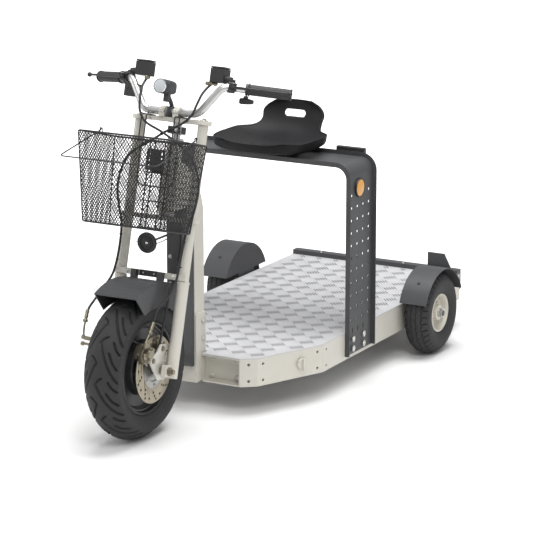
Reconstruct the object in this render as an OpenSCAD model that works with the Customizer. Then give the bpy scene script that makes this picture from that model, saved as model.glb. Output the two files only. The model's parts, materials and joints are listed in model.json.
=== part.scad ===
// Three-wheeled platform scooter: raked front fork with a hub wheel, tread plate deck on
// channel rails, perforated arch that carries the seat, and two small rear wheels.
// +Z is up, the scooter drives towards -Y, and the origin is on the ground under its middle.

/* [Overall] */
// Distance between the front and the rear axle
wheelbase = 1199; // [1150:1:1300]
// Lean of the steering axis from the vertical, in degrees
rake = 15.2; // [12:0.1:18]

/* [Front wheel] */
// Radius of the front tyre
front_radius = 210; // [200:1:214]
// Width of the front tyre
front_tyre_width = 114; // [100:1:116]
// Radius at which the front tyre meets the rim
front_bead_radius = 134; // [125:1:140]
// Radius of the hub motor
motor_radius = 76; // [70:1:80]
// Width of the hub motor
motor_width = 80; // [70:1:84]
// Radius of a brake disc
disc_radius = 98; // [92:1:102]
// Thickness of a brake disc
disc_thick = 4; // [3:0.5:5]
// Distance of a brake disc from the middle plane
disc_offset = 62; // [60:1:64]
// Radius of the front axle
front_axle_radius = 7; // [6:0.5:8]

/* [Fork] */
// Half the distance between the fork legs
leg_spacing = 104; // [100:1:110]
// Radius of a fork leg
leg_radius = 15; // [13:0.5:17]
// How far the axle leads the fork legs
leg_lead = 32; // [28:1:36]
// Height of the top clamp above the axle, along the fork
top_clamp_height = 701; // [690:1:730]
// Thickness of both fork clamps
clamp_thick = 12; // [10:1:15]
// How far the steering stem lies behind the legs
stem_offset = 34; // [31:1:38]
// Radius of the steering stem
stem_radius = 12.5; // [11:0.5:13.5]
// Outer radius of the head tube
head_radius = 23; // [21:1:25]
// Height of the head tube's lower end above the axle, along the fork
head_low = 440; // [430:1:445]
// Distance from the head tube's upper end to the top clamp
head_clear = 61; // [58:1:80]

/* [Handlebar] */
// Radius of the handlebar
bar_radius = 11; // [10:0.5:12]
// Wall of the bar's clamps
bar_clamp_wall = 5; // [4:0.5:7]
// Rise of the bar from its middle to the grips
bar_rise = 87; // [70:1:95]
// Radius of a grip
grip_radius = 15.5; // [14:0.5:17]
// Length of the bar's straight end that carries a grip
grip_length = 142; // [130:1:150]

/* [Deck] */
// Height of the deck's top face
deck_height = 175; // [165:1:185]
// Width of the deck
deck_width = 610; // [580:1:640]
// Width of the deck's front edge
nose_width = 330; // [300:1:350]
// Thickness of the tread plate
plate_thick = 3; // [2:0.5:5]
// Height of the rails under the deck
rail_height = 83; // [75:1:90]
// Width of a rail's flange
rail_flange = 38; // [30:1:42]
// Wall of the rails
rail_wall = 4; // [3:0.5:5]
// Distance of the deck's front edge behind the front axle
deck_front = 311; // [305:1:320]
// Distance from the front edge to where the deck reaches its full width
taper_length = 254; // [230:1:280]
// Length of the deck behind the rear axle
deck_overhang = 337; // [300:1:360]
// Height of the rear bumper
bumper_height = 69; // [60:1:80]

/* [Seat arch] */
// Distance of the arch's front edge behind the front axle
arch_front = 709; // [690:1:740]
// Length of the arch along the deck
arch_depth = 174; // [165:1:185]
// Height of the arch's underside
arch_height = 681; // [640:1:720]
// Width of the arch's flanges
arch_flange = 15; // [12:1:18]
// Wall of the arch
arch_wall = 2.5; // [2:0.5:4]
// Inner corner radius of the arch
arch_corner = 36; // [30:1:45]
// Diameter of the arch's holes
arch_hole = 9.5; // [6:0.5:12]
// Distance between rows of holes
hole_pitch = 38.6; // [36:0.1:40]

/* [Seat] */
// Width of the seat
seat_width = 330; // [300:1:360]
// Length of the seat from its lip to its back
seat_length = 312; // [300:1:330]
// Height of the backrest above the pan
back_height = 104; // [90:1:125]
// Thickness of the seat shell
seat_thick = 6; // [5:0.5:8]

/* [Rear wheels] */
// Radius of a rear tyre
rear_radius = 133; // [128:1:138]
// Width of a rear tyre
rear_tyre_width = 84; // [76:1:86]
// Radius at which a rear tyre meets its rim
rear_bead_radius = 60; // [56:1:66]
// Distance from the deck's side to the middle of a rear wheel
rear_wheel_gap = 54; // [53:1:60]
// Radius of a rear stub axle
stub_radius = 10; // [9:0.5:11]
// Radius of a rear fender
fender_radius = 143; // [140:1:150]

/* [Steering column] */
// Width of the steering column
tower_width = 54; // [50:1:58]
// Depth of the steering column
tower_depth = 55; // [50:1:60]
// Wall of the steering column
tower_wall = 3; // [2:0.5:4]

/* [Basket] */
// Width of the basket at its rim
basket_width = 304; // [280:1:320]
// Depth of the basket at its rim
basket_depth = 196; // [180:1:210]
// Height of the basket
basket_height = 250; // [230:1:255]
// Width of the basket's floor
basket_floor_width = 266; // [240:1:280]
// Depth of the basket's floor
basket_floor_depth = 145; // [130:1:155]
// Radius of the basket's frame wire
basket_wire = 2.5; // [2:0.5:3]

/* [Hidden] */
$fn = 48;

// Small clearances and overruns shared by every piece
run_gap = 0.3;
fit_gap = 0.05;
overrun = 1;
spin_gap = 3;
bracket_thick = 4;
fender_wall = 2;

// Where the axles lie, with the origin under the middle of the scooter
bumper_wall = 4;
front_axle_y = -(wheelbase + deck_overhang + bumper_wall - front_radius) / 2;
rear_axle_y = wheelbase;
deck_rear = wheelbase + deck_overhang;
half_deck = deck_width / 2;
rail_top = deck_height - plate_thick;
rail_low = rail_top - rail_height;
nose_corner_share = 0.126;
nose_corner_x = half_deck * 0.68;
nose_corner_y = deck_front + taper_length * nose_corner_share;
taper_end_y = deck_front + taper_length;
half_nose = nose_width / 2;
rear_track_half = half_deck + rear_wheel_gap;
head_length = top_clamp_height - head_low - head_clear;

// Colours
cream = [0.86, 0.84, 0.79];
dark_grey = [0.27, 0.27, 0.28];
black = [0.12, 0.12, 0.12];
tyre_black = [0.16, 0.16, 0.16];
bright = [0.78, 0.79, 0.8];
plate_silver = [0.8, 0.8, 0.8];
disc_brass = [0.6, 0.57, 0.5];
amber = [0.92, 0.62, 0.2];
signal_red = [0.75, 0.1, 0.08];
lens_grey = [0.85, 0.87, 0.88];
battery_blue = [0.3, 0.36, 0.45];

// Frames of reference
module from_front_axle() {
  translate([0, front_axle_y, 0]) children();
}

// The fork's own frame: Z runs up the legs and Y = 0 is the plane of the legs
module in_fork() {
  translate([0, front_axle_y, front_radius])
    rotate([-rake, 0, 0])
      translate([0, leg_lead, 0]) children();
}

module both_sides() {
  children();
  mirror([1, 0, 0]) children();
}

// A box given by its low and high corners
module box(low, high) {
  translate(low) cube(high - low);
}

// A round bar between two points
module rod(a, b, radius) {
  v = b - a;
  span = norm(v);
  translate(a)
    rotate([0, acos(v.z / span), atan2(v.y, v.x)])
      cylinder(h = span, r = radius);
}

// A cylinder along X from x0 to x1
module along_x(x0, x1, radius) {
  translate([x0, 0, 0]) rotate([0, 90, 0]) cylinder(h = x1 - x0, r = radius);
}

// A cylinder along Y from y0 to y1
module along_y(y0, y1, radius) {
  translate([0, y0, 0]) rotate([-90, 0, 0]) cylinder(h = y1 - y0, r = radius);
}

// A hexagon nut or bolt head along X
module hex_x(x0, x1, radius) {
  translate([x0, 0, 0]) rotate([0, 90, 0]) cylinder(h = x1 - x0, r = radius, $fn = 6);
}

// A plate in the YZ plane from x0 to x1, with its outline given as [y, z]
module side_plate(x0, x1) {
  translate([x0, 0, 0])
    rotate([90, 0, 90])
      linear_extrude(x1 - x0) children();
}

// Points on an arc, as [x, y]
function arc(centre, radius, from, to, steps) =
  [for (i = [0 : steps]) let (a = from + (to - from) * i / steps)
    centre + radius * [cos(a), sin(a)]];

// Where two lines, each given by a point and a direction, cross
function crossing(p, u, q, v) =
  let (d = u.x * v.y - u.y * v.x, w = q - p) p + u * ((w.x * v.y - w.y * v.x) / d);

// An outline drawn anticlockwise, moved inwards by one wall
function inset(points, wall) =
  let (n = len(points))
  [for (i = [0 : n - 1])
    let (p = points[(i + n - 1) % n], q = points[i], r = points[(i + 1) % n],
       u = (q - p) / norm(q - p), v = (r - q) / norm(r - q),
       a = p + wall * [-u.y, u.x], b = q + wall * [-v.y, v.x])
    crossing(a, u, b, v)];

// A quadratic curve from a to c that leans towards b
function bend(a, b, c, steps) =
  [for (i = [0 : steps]) let (t = i / steps)
    a * (1 - t) * (1 - t) + b * 2 * t * (1 - t) + c * t * t];

// A route with its corners rounded, reach being how far a bend runs from its corner
function rounded(points, reach, steps) =
  let (n = len(points))
  [points[0],
   for (i = [1 : n - 2])
    let (p = points[i], a = points[i - 1] - p, c = points[i + 1] - p)
    each bend(p + a * reach / norm(a), p, p + c * reach / norm(c), steps),
   points[n - 1]];

// Catmull-Rom points through a route
function spline(points, steps) =
  let (n = len(points))
  [for (i = [0 : n - 2], k = [0 : steps - 1])
    let (t = k / steps, p0 = points[max(i - 1, 0)], p1 = points[i], p2 = points[i + 1],
       p3 = points[min(i + 2, n - 1)])
    0.5 * (2 * p1 + (p2 - p0) * t + (2 * p0 - 5 * p1 + 4 * p2 - p3) * t * t
      + (3 * p1 - p0 - 3 * p2 + p3) * t * t * t),
   points[n - 1]];

// One ring of a tube around a point of its route
function ring(p, along, radius, sides) =
  let (d = along / norm(along),
     side = abs(d.y) < 0.9 ? [0, 1, 0] : [0, 0, 1],
     u = cross(d, side) / norm(cross(d, side)), v = cross(d, u))
  [for (k = [0 : sides - 1]) let (a = 360 * k / sides) p + radius * (cos(a) * u + sin(a) * v)];

// A tube swept along a route
module tube(route, radius, sides) {
  n = len(route);
  rings = [for (i = [0 : n - 1])
    ring(route[i], route[min(i + 1, n - 1)] - route[max(i - 1, 0)], radius, sides)];
  points = [for (r = rings) each r];
  walls = [for (i = [0 : n - 2], k = [0 : sides - 1])
    let (a = i * sides + k, b = i * sides + (k + 1) % sides)
    each [[a, a + sides, b], [b, a + sides, b + sides]]];
  first = [for (k = [1 : sides - 2]) [0, k, k + 1]];
  last = [for (k = [1 : sides - 2]) [(n - 1) * sides, (n - 1) * sides + k + 1, (n - 1) * sides + k]];
  polyhedron(concat(points), concat(walls, first, last), convexity = 6);
}

// Deck and rails
deck_outline = [
  [half_nose, deck_front], [nose_corner_x, nose_corner_y], [half_deck, taper_end_y],
  [half_deck, deck_rear], [-half_deck, deck_rear], [-half_deck, taper_end_y],
  [-nose_corner_x, nose_corner_y], [-half_nose, deck_front]
];
tower_front = deck_front - 0.4 * tower_depth;
tower_back = tower_front + tower_depth;

module deck_plate() {
  color(plate_silver) from_front_axle()
    translate([0, 0, rail_top]) linear_extrude(plate_thick)
      difference() {
        polygon(deck_outline);
        translate([-column_side, deck_front - overrun])
          square([2 * column_side, tower_back - deck_front + overrun]);
      }
}

// The channel that runs all round under the deck's edge
module perimeter_rail() {
  for (z = [rail_low, rail_top - rail_wall])
    translate([0, 0, z]) linear_extrude(rail_wall) difference() {
      polygon(deck_outline);
      polygon(inset(deck_outline, rail_flange));
    }
  translate([0, 0, rail_low]) linear_extrude(rail_height) difference() {
    polygon(deck_outline);
    polygon(inset(deck_outline, rail_wall));
  }
}

// Small round holes along the front rails
rail_hole = 8.5;
rail_hole_inset = 20;
rail_hole_rise = rail_height * 0.3;
taper_run = [half_deck - nose_corner_x, taper_end_y - nose_corner_y];
taper_angle = atan2(taper_run.y, taper_run.x);
corner_run = [nose_corner_x - half_nose, nose_corner_y - deck_front];
corner_angle = atan2(corner_run.y, corner_run.x);
rail_mid = (rail_low + rail_top) / 2;

// A hole through a rail's web, at a place along it from one of its corners
module rail_holes(corner, angle, places) {
  translate([corner.x, corner.y, rail_mid]) rotate([0, 0, angle])
    for (x = places, z = [-rail_hole_rise, rail_hole_rise])
      translate([x, 0, z])
        along_y(-overrun, rail_wall + overrun, rail_hole / 2);
}

module front_rail() {
  difference() {
    intersection() {
      perimeter_rail();
      box([half_nose, deck_front - overrun, 0], [deck_width, taper_end_y, deck_height]);
    }
    rail_holes([half_nose, deck_front], corner_angle, [norm(corner_run) / 2]);
    rail_holes([nose_corner_x, nose_corner_y], taper_angle,
      [rail_hole_inset, norm(taper_run) - rail_hole_inset]);
  }
}

module front_rails() {
  color(cream) from_front_axle() {
    difference() {
      front_rail();
      switch_place() along_y(-rail_wall - overrun, rail_wall + overrun, switch_radius);
    }
    mirror([1, 0, 0]) front_rail();
  }
}

// Bolts that hold the arch go through slots in the side rails
arch_bolt_radius = 4;
arch_bolt_rows = [rail_low + rail_height * 0.325, rail_low + rail_height * 0.687];
arch_bolt_columns = [arch_front + arch_depth * 0.26, arch_front + arch_depth * 0.66];

module side_rail() {
  difference() {
    intersection() {
      perimeter_rail();
      box([half_deck - rail_flange - overrun, taper_end_y, 0],
        [deck_width, deck_rear - rail_wall, deck_height]);
    }
    for (y = arch_bolt_columns, z = arch_bolt_rows)
      translate([0, y, z])
        along_x(half_deck - rail_wall - overrun, half_deck + overrun, arch_bolt_radius);
    for (z = [rail_mid - rail_hole_rise, rail_mid + rail_hole_rise])
      translate([0, taper_end_y + 1.15 * rail_hole_inset, z])
        along_x(half_deck - rail_wall - overrun, half_deck + overrun, rail_hole / 2);
    translate([0, rear_axle_y, rear_radius])
      along_x(half_deck - rail_wall - overrun, half_deck + overrun, stub_radius);
  }
}

module side_rails() {
  color(cream) from_front_axle() both_sides() side_rail();
}

// Two short channels, open to the front, on each side of the steering column
front_bolt_radius = 4;
front_bolt_head = 7;
front_bolt_rise = rail_height * 0.31;
column_gap = 8;
column_side = tower_width / 2 + bracket_thick + column_gap;

module front_channels() {
  web_y = tower_back;
  color(cream) from_front_axle() {
    box([-half_nose, web_y, rail_low], [half_nose, web_y + rail_wall, rail_top]);
    both_sides() {
    difference() {
      box([column_side, deck_front, rail_low], [half_nose, web_y + rail_wall, rail_top]);
      box([column_side - overrun, deck_front - overrun, rail_low + rail_wall],
        [half_nose - rail_wall, web_y, rail_top - rail_wall]);
    }
    for (x = [column_side + 0.1 * half_nose, half_nose - 0.16 * half_nose],
       z = [rail_mid - front_bolt_rise, rail_mid + front_bolt_rise])
      translate([x, 0, z]) along_y(web_y - front_bolt_radius, web_y, front_bolt_head);
    }
  }
}

// Channels across the frame, seated inside the side rails
cross_width = 42;
cross_places = [taper_end_y + cross_width, arch_front + arch_depth + cross_width,
  deck_rear - rail_wall - cross_width];

module cross_members() {
  inner_x = half_deck - rail_wall;
  inner_low = rail_low + rail_wall;
  inner_top = rail_top - rail_wall;
  color(cream) from_front_axle() for (y = cross_places)
    difference() {
      box([-inner_x, y, inner_low], [inner_x, y + cross_width, inner_top]);
      box([-inner_x - overrun, y - overrun, inner_low + rail_wall],
        [inner_x + overrun, y + cross_width - rail_wall, inner_top - rail_wall]);
    }
}

// Upright channel across the back of the deck
bumper_depth = 26;
bumper_stand = 15;
bumper_top = deck_height + bumper_stand;
bumper_recess = -bumper_depth + rail_wall;

module rear_bumper() {
  low = bumper_top - bumper_height;
  color(dark_grey) from_front_axle() difference() {
    box([-half_deck, deck_rear - rail_wall + bumper_recess, low],
      [half_deck, deck_rear + bumper_wall, bumper_top]);
    box([-half_deck - overrun, deck_rear - rail_wall + bumper_recess - overrun, low - overrun],
      [half_deck + overrun, deck_rear, deck_height]);
  }
}

// Upright tab for a plate, on the bumper's left end
tab_height = 44;
tab_low_shares = [0.3, 0.44];
tab_width = 83;
tab_top_width = 60;
tab_inner = half_deck * 0.61;

module plate_tab() {
  color(dark_grey) from_front_axle()
    translate([0, deck_rear + bumper_wall, bumper_top])
      rotate([90, 0, 0]) linear_extrude(bumper_wall)
        polygon([[tab_inner, 0], [tab_inner + tab_width, 0],
          [tab_inner + tab_top_width, tab_height], [tab_inner, tab_height]]);
}

// Battery under the deck, on a tray between the side rails
tray_thick = 2;
battery_size = [360, 260, 60];
controller_size = [150, 110, 45];
controller_gap = 30;
controller_front = arch_front + arch_depth + 2 * cross_width + controller_gap;
terminal = 9;

module battery_tray() {
  inner_x = half_deck - rail_wall;
  color(bright) from_front_axle() union() {
    box([-inner_x, cross_places[0] + cross_width, rail_low + rail_wall],
      [inner_x, cross_places[1], rail_low + rail_wall + tray_thick]);
    box([-inner_x, cross_places[1] + cross_width, rail_low + rail_wall],
      [inner_x, controller_front + 2 * controller_size.y, rail_low + rail_wall + tray_thick]);
  }
}

module battery_pack() {
  low = rail_low + rail_wall + tray_thick;
  start = (cross_places[0] + cross_width + cross_places[1] - battery_size.y) / 2;
  color(battery_blue) from_front_axle() {
    box([-battery_size.x / 2, start, low],
      [battery_size.x / 2, start + battery_size.y, low + battery_size.z]);
    for (x = [-battery_size.x / 4, battery_size.x / 4])
      translate([x, start + battery_size.y / 6, low + battery_size.z])
        cylinder(h = terminal, r = terminal);
  }
}

module motor_controller() {
  low = rail_low + rail_wall + tray_thick;
  fin = 3;
  fin_pitch = 11;
  color(bright) from_front_axle() difference() {
    box([-controller_size.x / 2, controller_front, low],
      [controller_size.x / 2, controller_front + controller_size.y, low + controller_size.z]);
    for (x = [-controller_size.x / 2 + fin_pitch : fin_pitch : controller_size.x / 2 - fin_pitch])
      box([x - fin, controller_front - overrun, low + controller_size.z / 2],
        [x + fin, controller_front + controller_size.y + overrun, low + controller_size.z + overrun]);
  }
}

// Steering column, drawn from the side as [y, z]
column_bend_low = 600;
column_top = 770;
column_chin = 624;
column_bend_lean = 318;
column_bend_rise = 725;
column_nose_top = 205;
column_nose_low = 172;
column_outline = concat(
  [[tower_front, rail_low], [tower_back, rail_low]],
  bend([tower_back, column_bend_low], [column_bend_lean, column_bend_rise],
    [column_nose_top, column_top], 10),
  [[column_nose_low, column_chin + tower_wall], [tower_front, column_chin]]);

module head_tube_cutter(radius) {
  in_fork() translate([0, stem_offset, head_low - head_length])
    cylinder(h = 3 * head_length, r = radius);
}

module steering_tower() {
  hole = 3.5;
  color(cream) difference() {
    from_front_axle() difference() {
      side_plate(-tower_width / 2, tower_width / 2) polygon(column_outline);
      side_plate(-tower_width / 2 + tower_wall, tower_width / 2 - tower_wall)
        polygon(inset(column_outline, tower_wall));
      translate([tower_width / 4, 0, (column_chin + rail_top) / 2 + rail_height])
        along_y(tower_front - overrun, tower_front + tower_wall + overrun, hole);
    }
    head_tube_cutter(head_radius);
  }
}

// Brackets that bolt the column to the deck frame
bracket_top = 297;
bracket_foot = 52;
bracket_bolt_z_shares = [0.37, 0.61, 0.86];
bracket_bolt = 5;

module tower_brackets() {
  color(cream) from_front_axle() both_sides() {
    side_plate(tower_width / 2, tower_width / 2 + bracket_thick)
      polygon([[tower_front, rail_low], [tower_back, rail_low], [tower_back, bracket_top],
        [tower_front + bracket_thick, bracket_top], [tower_front, bracket_top - bracket_thick]]);
    for (share = bracket_bolt_z_shares)
      translate([0, tower_front + 0.72 * tower_depth, rail_low + share * (bracket_top - rail_low)])
        hex_x(tower_width / 2 + bracket_thick, tower_width / 2 + bracket_thick + bracket_bolt,
          1.4 * bracket_bolt);
  }
}

// Head tube with a bearing in each end
bearing_height = 16;
bearing_flange = 7;
head_wall = 5;
bearing_radius = head_radius - head_wall;

module head_tube() {
  color(cream) in_fork() translate([0, stem_offset, head_low]) difference() {
    cylinder(h = head_length, r = head_radius);
    translate([0, 0, -overrun]) cylinder(h = head_length + 2 * overrun, r = bearing_radius);
  }
}

module head_bearings() {
  color(bright) in_fork() translate([0, stem_offset, 0]) difference() {
    union() {
      for (z = [head_low, head_low + head_length - bearing_height])
        translate([0, 0, z]) cylinder(h = bearing_height, r = bearing_radius);
      for (z = [head_low - bearing_flange, head_low + head_length])
        translate([0, 0, z]) cylinder(h = bearing_flange, r = head_radius);
    }
    translate([0, 0, head_low - head_length])
      cylinder(h = 3 * head_length, r = stem_radius + fit_gap);
  }
}

// Dark shield in front of the column, with its lower end cut round the wheel
shield_width = 50;
shield_front = 226;
shield_top = 616;
shield_knee = 330;
shield_low = 140;
shield_thick = 2.5;
shield_outline = concat(
  [[tower_front, shield_low], [tower_front, shield_top], [shield_front, shield_top],
   [shield_front, shield_knee]],
  bend([shield_front + shield_thick, front_radius], [shield_front + 5 * shield_thick, front_radius * 0.78],
    [tower_front - 5 * shield_thick, shield_low], 8));

module front_shield() {
  backwards = [for (i = [len(shield_outline) - 1 : -1 : 0]) shield_outline[i]];
  color(dark_grey) from_front_axle() difference() {
    side_plate(-shield_width / 2, shield_width / 2) polygon(shield_outline);
    side_plate(-shield_width / 2 + shield_thick, shield_width / 2 - shield_thick)
      polygon([[tower_front + overrun, shield_low - overrun],
        [tower_front + overrun, shield_top - shield_thick],
        [shield_front + shield_thick, shield_top - shield_thick],
        [shield_front + 2 * shield_thick, shield_knee],
        [tower_front - 3 * shield_thick, shield_low - overrun]]);
  }
}

// Horn on a strap from the shield
horn_radius = 30;
horn_thick = 14;
horn_front = 68;
horn_height = 555;
horn_boss = 11;
strap_width = 6;
strap_thick = 2;

module horn() {
  color(black) from_front_axle() translate([0, horn_front, horn_height]) {
    difference() {
      along_y(0, horn_thick, horn_radius);
      along_y(-overrun, horn_thick / 4, horn_radius - horn_thick / 4);
    }
    along_y(horn_thick / 8, horn_thick / 3, horn_boss);
    along_y(horn_thick - overrun, horn_thick + horn_boss, horn_boss);
  }
}

module horn_bracket() {
  back = horn_front + horn_thick + horn_boss;
  low = horn_height - strap_width / 2;
  color(bright) from_front_axle() {
    box([-strap_width / 2, back, low], [strap_width / 2, back + strap_thick, low + strap_width]);
    box([strap_width / 2 - strap_thick, back, low],
      [strap_width / 2, shield_front, low + strap_width]);
    box([-strap_width / 2, shield_front - strap_thick, low],
      [strap_width / 2, shield_front, low + strap_width]);
    translate([-strap_width / 4, 0, horn_height])
      along_y(shield_front - 3 * strap_thick, shield_front - strap_thick, 2 * strap_thick);
  }
}

// Seat arch, drawn across as [x, z], grown outwards from its inner face
arch_low = 100;

module arch_outline(grow) {
  corner_x = half_deck - arch_corner;
  corner_z = arch_height - arch_corner;
  translate([-half_deck - grow, 0]) square([2 * (half_deck + grow), corner_z]);
  translate([-corner_x, 0]) square([2 * corner_x, arch_height + grow]);
  for (x = [-corner_x, corner_x]) translate([x, corner_z]) circle(r = arch_corner + grow);
}

module arch_layer(start, thick, inner, outer) {
  translate([0, start + thick, 0]) rotate([90, 0, 0]) linear_extrude(thick)
    difference() {
      intersection() {
        arch_outline(outer);
        translate([-deck_width, arch_low]) square([2 * deck_width, arch_height]);
      }
      arch_outline(inner);
    }
}

hole_columns = 4;
hole_low_rise = 34;
hole_low_z = rail_top + hole_low_rise;
hole_rows = floor((arch_height - arch_corner - hole_low_z) / hole_pitch);
hole_first_y = arch_front + 0.2 * arch_depth;
hole_column_pitch = 0.215 * arch_depth;
reflector_drop = 72;
reflector_z = arch_height - reflector_drop;

module seat_arch() {
  color(dark_grey) from_front_axle() difference() {
    union() {
      arch_layer(arch_front, arch_depth, 0, arch_wall);
      arch_layer(arch_front, arch_wall, 0, arch_flange);
      arch_layer(arch_front + arch_depth - arch_wall, arch_wall, 0, arch_flange);
    }
    for (c = [0 : hole_columns - 1], r = [0 : hole_rows - 1])
      if (r < hole_rows - 1 || c == 0 || c == hole_columns - 1)
        translate([0, hole_first_y + c * hole_column_pitch, hole_low_z + r * hole_pitch])
          both_sides() along_x(half_deck - overrun, half_deck + arch_wall + overrun, arch_hole / 2);
    for (y = arch_bolt_columns, z = arch_bolt_rows)
      translate([0, y, z])
        both_sides() along_x(half_deck - overrun, half_deck + arch_wall + overrun, arch_bolt_radius);
    for (x = [-seat_bolt_x, seat_bolt_x], y = [-seat_bolt_y, seat_bolt_y])
      translate([x, seat_middle_y + y, arch_height - overrun])
        cylinder(h = arch_wall + 2 * overrun, r = seat_bolt_radius);
  }
}

arch_bolt_head = 5;

module arch_bolts() {
  color(bright) from_front_axle() both_sides() for (y = arch_bolt_columns, z = arch_bolt_rows)
    translate([0, y, z]) {
      along_x(half_deck - rail_wall - arch_bolt_head, half_deck + arch_wall + arch_bolt_head / 2,
        arch_bolt_radius);
      hex_x(half_deck + arch_wall, half_deck + arch_wall + arch_bolt_head, 1.7 * arch_bolt_radius);
      hex_x(half_deck - rail_wall - arch_bolt_head, half_deck - rail_wall, 1.7 * arch_bolt_radius);
    }
}

// Round side reflectors on the arch
reflector_radius = 28;
reflector_base = 5;
reflector_lens = 5;
reflector_y = hole_first_y + 1.2 * hole_column_pitch;

module reflector_bases() {
  color(black) from_front_axle() both_sides() translate([0, reflector_y, reflector_z])
    along_x(half_deck + arch_wall, half_deck + arch_wall + reflector_base, reflector_radius);
}

module reflector_lenses() {
  start = half_deck + arch_wall + reflector_base;
  color(amber) from_front_axle() both_sides() translate([0, reflector_y, reflector_z])
    along_x(start, start + reflector_lens, reflector_radius - reflector_base / 2);
}

// Tail lamp on the arch's rear flange
lamp_width = 96;
lamp_height = 34;
lamp_depth = 18;
lamp_inset = 125;
lamp_wall = 2.5;
lamp_rise = 27;
lamp_x = half_deck - lamp_inset;
lamp_top = arch_height + lamp_rise;

module tail_lamp_housing() {
  back = arch_front + arch_depth;
  color(black) from_front_axle() difference() {
    box([lamp_x, back, lamp_top - lamp_height], [lamp_x + lamp_width, back + lamp_depth, lamp_top]);
    box([lamp_x + lamp_wall, back + lamp_wall, lamp_top - lamp_height + lamp_wall],
      [lamp_x + lamp_width - lamp_wall, back + lamp_depth + overrun, lamp_top - lamp_wall]);
  }
}

module tail_lamp_lens() {
  back = arch_front + arch_depth;
  color(signal_red) from_front_axle()
    box([lamp_x + lamp_wall, back + lamp_wall, lamp_top - lamp_height + lamp_wall],
      [lamp_x + lamp_width - lamp_wall, back + lamp_depth + lamp_wall, lamp_top - lamp_wall]);
}

// Seat: a moulded shell on a low mount
seat_bolt_radius = 4;
seat_bolt_x = 60;
seat_bolt_y = 40;
seat_middle_y = arch_front + arch_depth / 2;
pan_rise = 36;
pan_height = arch_height + pan_rise;
mount_size = [170, 120];
mount_wall = 5;

module seat_mount() {
  low = arch_height + arch_wall;
  top = pan_height - seat_thick;
  color(black) from_front_axle() translate([0, seat_middle_y, 0]) union() {
    for (z = [low, top - mount_wall])
      box([-mount_size.x / 2, -mount_size.y / 2, z], [mount_size.x / 2, mount_size.y / 2, z + mount_wall]);
    for (x = [-seat_bolt_x, seat_bolt_x], y = [-seat_bolt_y, seat_bolt_y])
      translate([x, y, arch_height - mount_wall])
        cylinder(h = top - arch_height + mount_wall, r = seat_bolt_radius);
    for (x = [-seat_bolt_x, seat_bolt_x], y = [-seat_bolt_y, seat_bolt_y])
      translate([x, y, low]) cylinder(h = top - low, r = 2 * seat_bolt_radius);
  }
}

// The seat's middle line from the lip to the top of the back, as shares of its length and height
seat_line_shares = [[0, 0.16], [0.05, 0.12], [0.13, 0.045], [0.23, 0.01], [0.35, 0], [0.47, 0], [0.58, 0],
  [0.69, 0.04], [0.79, 0.12], [0.87, 0.27], [0.925, 0.46], [0.96, 0.68], [0.978, 0.88], [0.985, 1]];
seat_width_shares = [0.62, 0.78, 0.9, 0.97, 1, 1, 1, 0.94, 0.74, 0.64, 0.61, 0.62, 0.5, 0.3];
seat_rise_shares = [0.06, 0.1, 0.16, 0.2, 0.22, 0.22, 0.22, 0.2, 0.14, 0.06, 0, 0, 0, 0];
seat_wrap_shares = [-0.05, -0.03, -0.01, 0, 0, 0, 0, 0.01, 0.03, 0.05, 0.06, 0.06, 0.05, 0.04];
// How far each row's rolled edge turns from straight down to straight back
seat_roll_shares = [0, 0, 0, 0, 0, 0, 0.05, 0.25, 0.6, 1, 1, 1, 1, 1];
seat_taper_share = 0.95;
seat_flat_share = 0.3;
seat_edge = 16;
seat_skirt_gap = 3;
seat_columns = 16;
seat_forward = 49;
seat_front = arch_front - seat_forward;
seat_skirt_low = arch_height + arch_flange + seat_skirt_gap;

// A point of the seat's top face, moved inwards by a wall and lifted along its normal
function seat_point(i, j, wall, lift) =
  let (t = 2 * j / seat_columns - 1, n = len(seat_line_shares),
     here = seat_line_shares[i],
     ahead = seat_line_shares[min(i + 1, n - 1)] - seat_line_shares[max(i - 1, 0)],
     run = [ahead.x * seat_length, ahead.y * back_height], d = run / norm(run),
     curl = pow(max(abs(t) - seat_flat_share, 0) / (1 - seat_flat_share), 2))
  [t * (seat_width_shares[i] * seat_width / 2 - wall),
   seat_front + here.x * seat_length - seat_wrap_shares[i] * seat_length * t * t - lift * d.y
     + (i == 0 ? wall : 0),
   pan_height + here.y * back_height + seat_rise_shares[i] * back_height * curl + lift * d.x
     - (i == n - 1 ? wall : 0)];

// The point under it on the edge that is rolled down round the pan and back round the backrest
function seat_edge_point(i, j, wall, over) =
  let (p = seat_point(i, j, wall, 0), roll = seat_roll_shares[i])
  [p.x * seat_taper_share, p.y, seat_skirt_low - over] * (1 - roll)
    + seat_point(i, j, wall, -seat_edge - over) * roll;

// A closed form between two faces of the seat
module seat_form(wall, over) {
  rows = len(seat_line_shares);
  columns = seat_columns + 1;
  top = [for (i = [0 : rows - 1], j = [0 : seat_columns]) seat_point(i, j, wall, -wall)];
  low = [for (i = [0 : rows - 1], j = [0 : seat_columns]) seat_edge_point(i, j, wall, over)];
  count = rows * columns;
  quads = [for (i = [0 : rows - 2], j = [0 : seat_columns - 1]) i * columns + j];
  upper = [for (a = quads) each [[a, a + 1 + columns, a + 1], [a, a + columns, a + 1 + columns]]];
  under = [for (a = quads) each [[a + count, a + 1 + count, a + 1 + columns + count],
    [a + count, a + 1 + columns + count, a + columns + count]]];
  edge = concat([for (j = [0 : seat_columns - 1]) [j, j + 1]],
    [for (i = [0 : rows - 2]) [i * columns + seat_columns, (i + 1) * columns + seat_columns]],
    [for (j = [seat_columns : -1 : 1]) [(rows - 1) * columns + j, (rows - 1) * columns + j - 1]],
    [for (i = [rows - 1 : -1 : 1]) [i * columns, (i - 1) * columns]]);
  rim = [for (e = edge) each [[e[0], e[1], e[1] + count], [e[0], e[1] + count, e[0] + count]]];
  polyhedron(concat(top, low), concat(upper, under, rim), convexity = 8);
}

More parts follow.
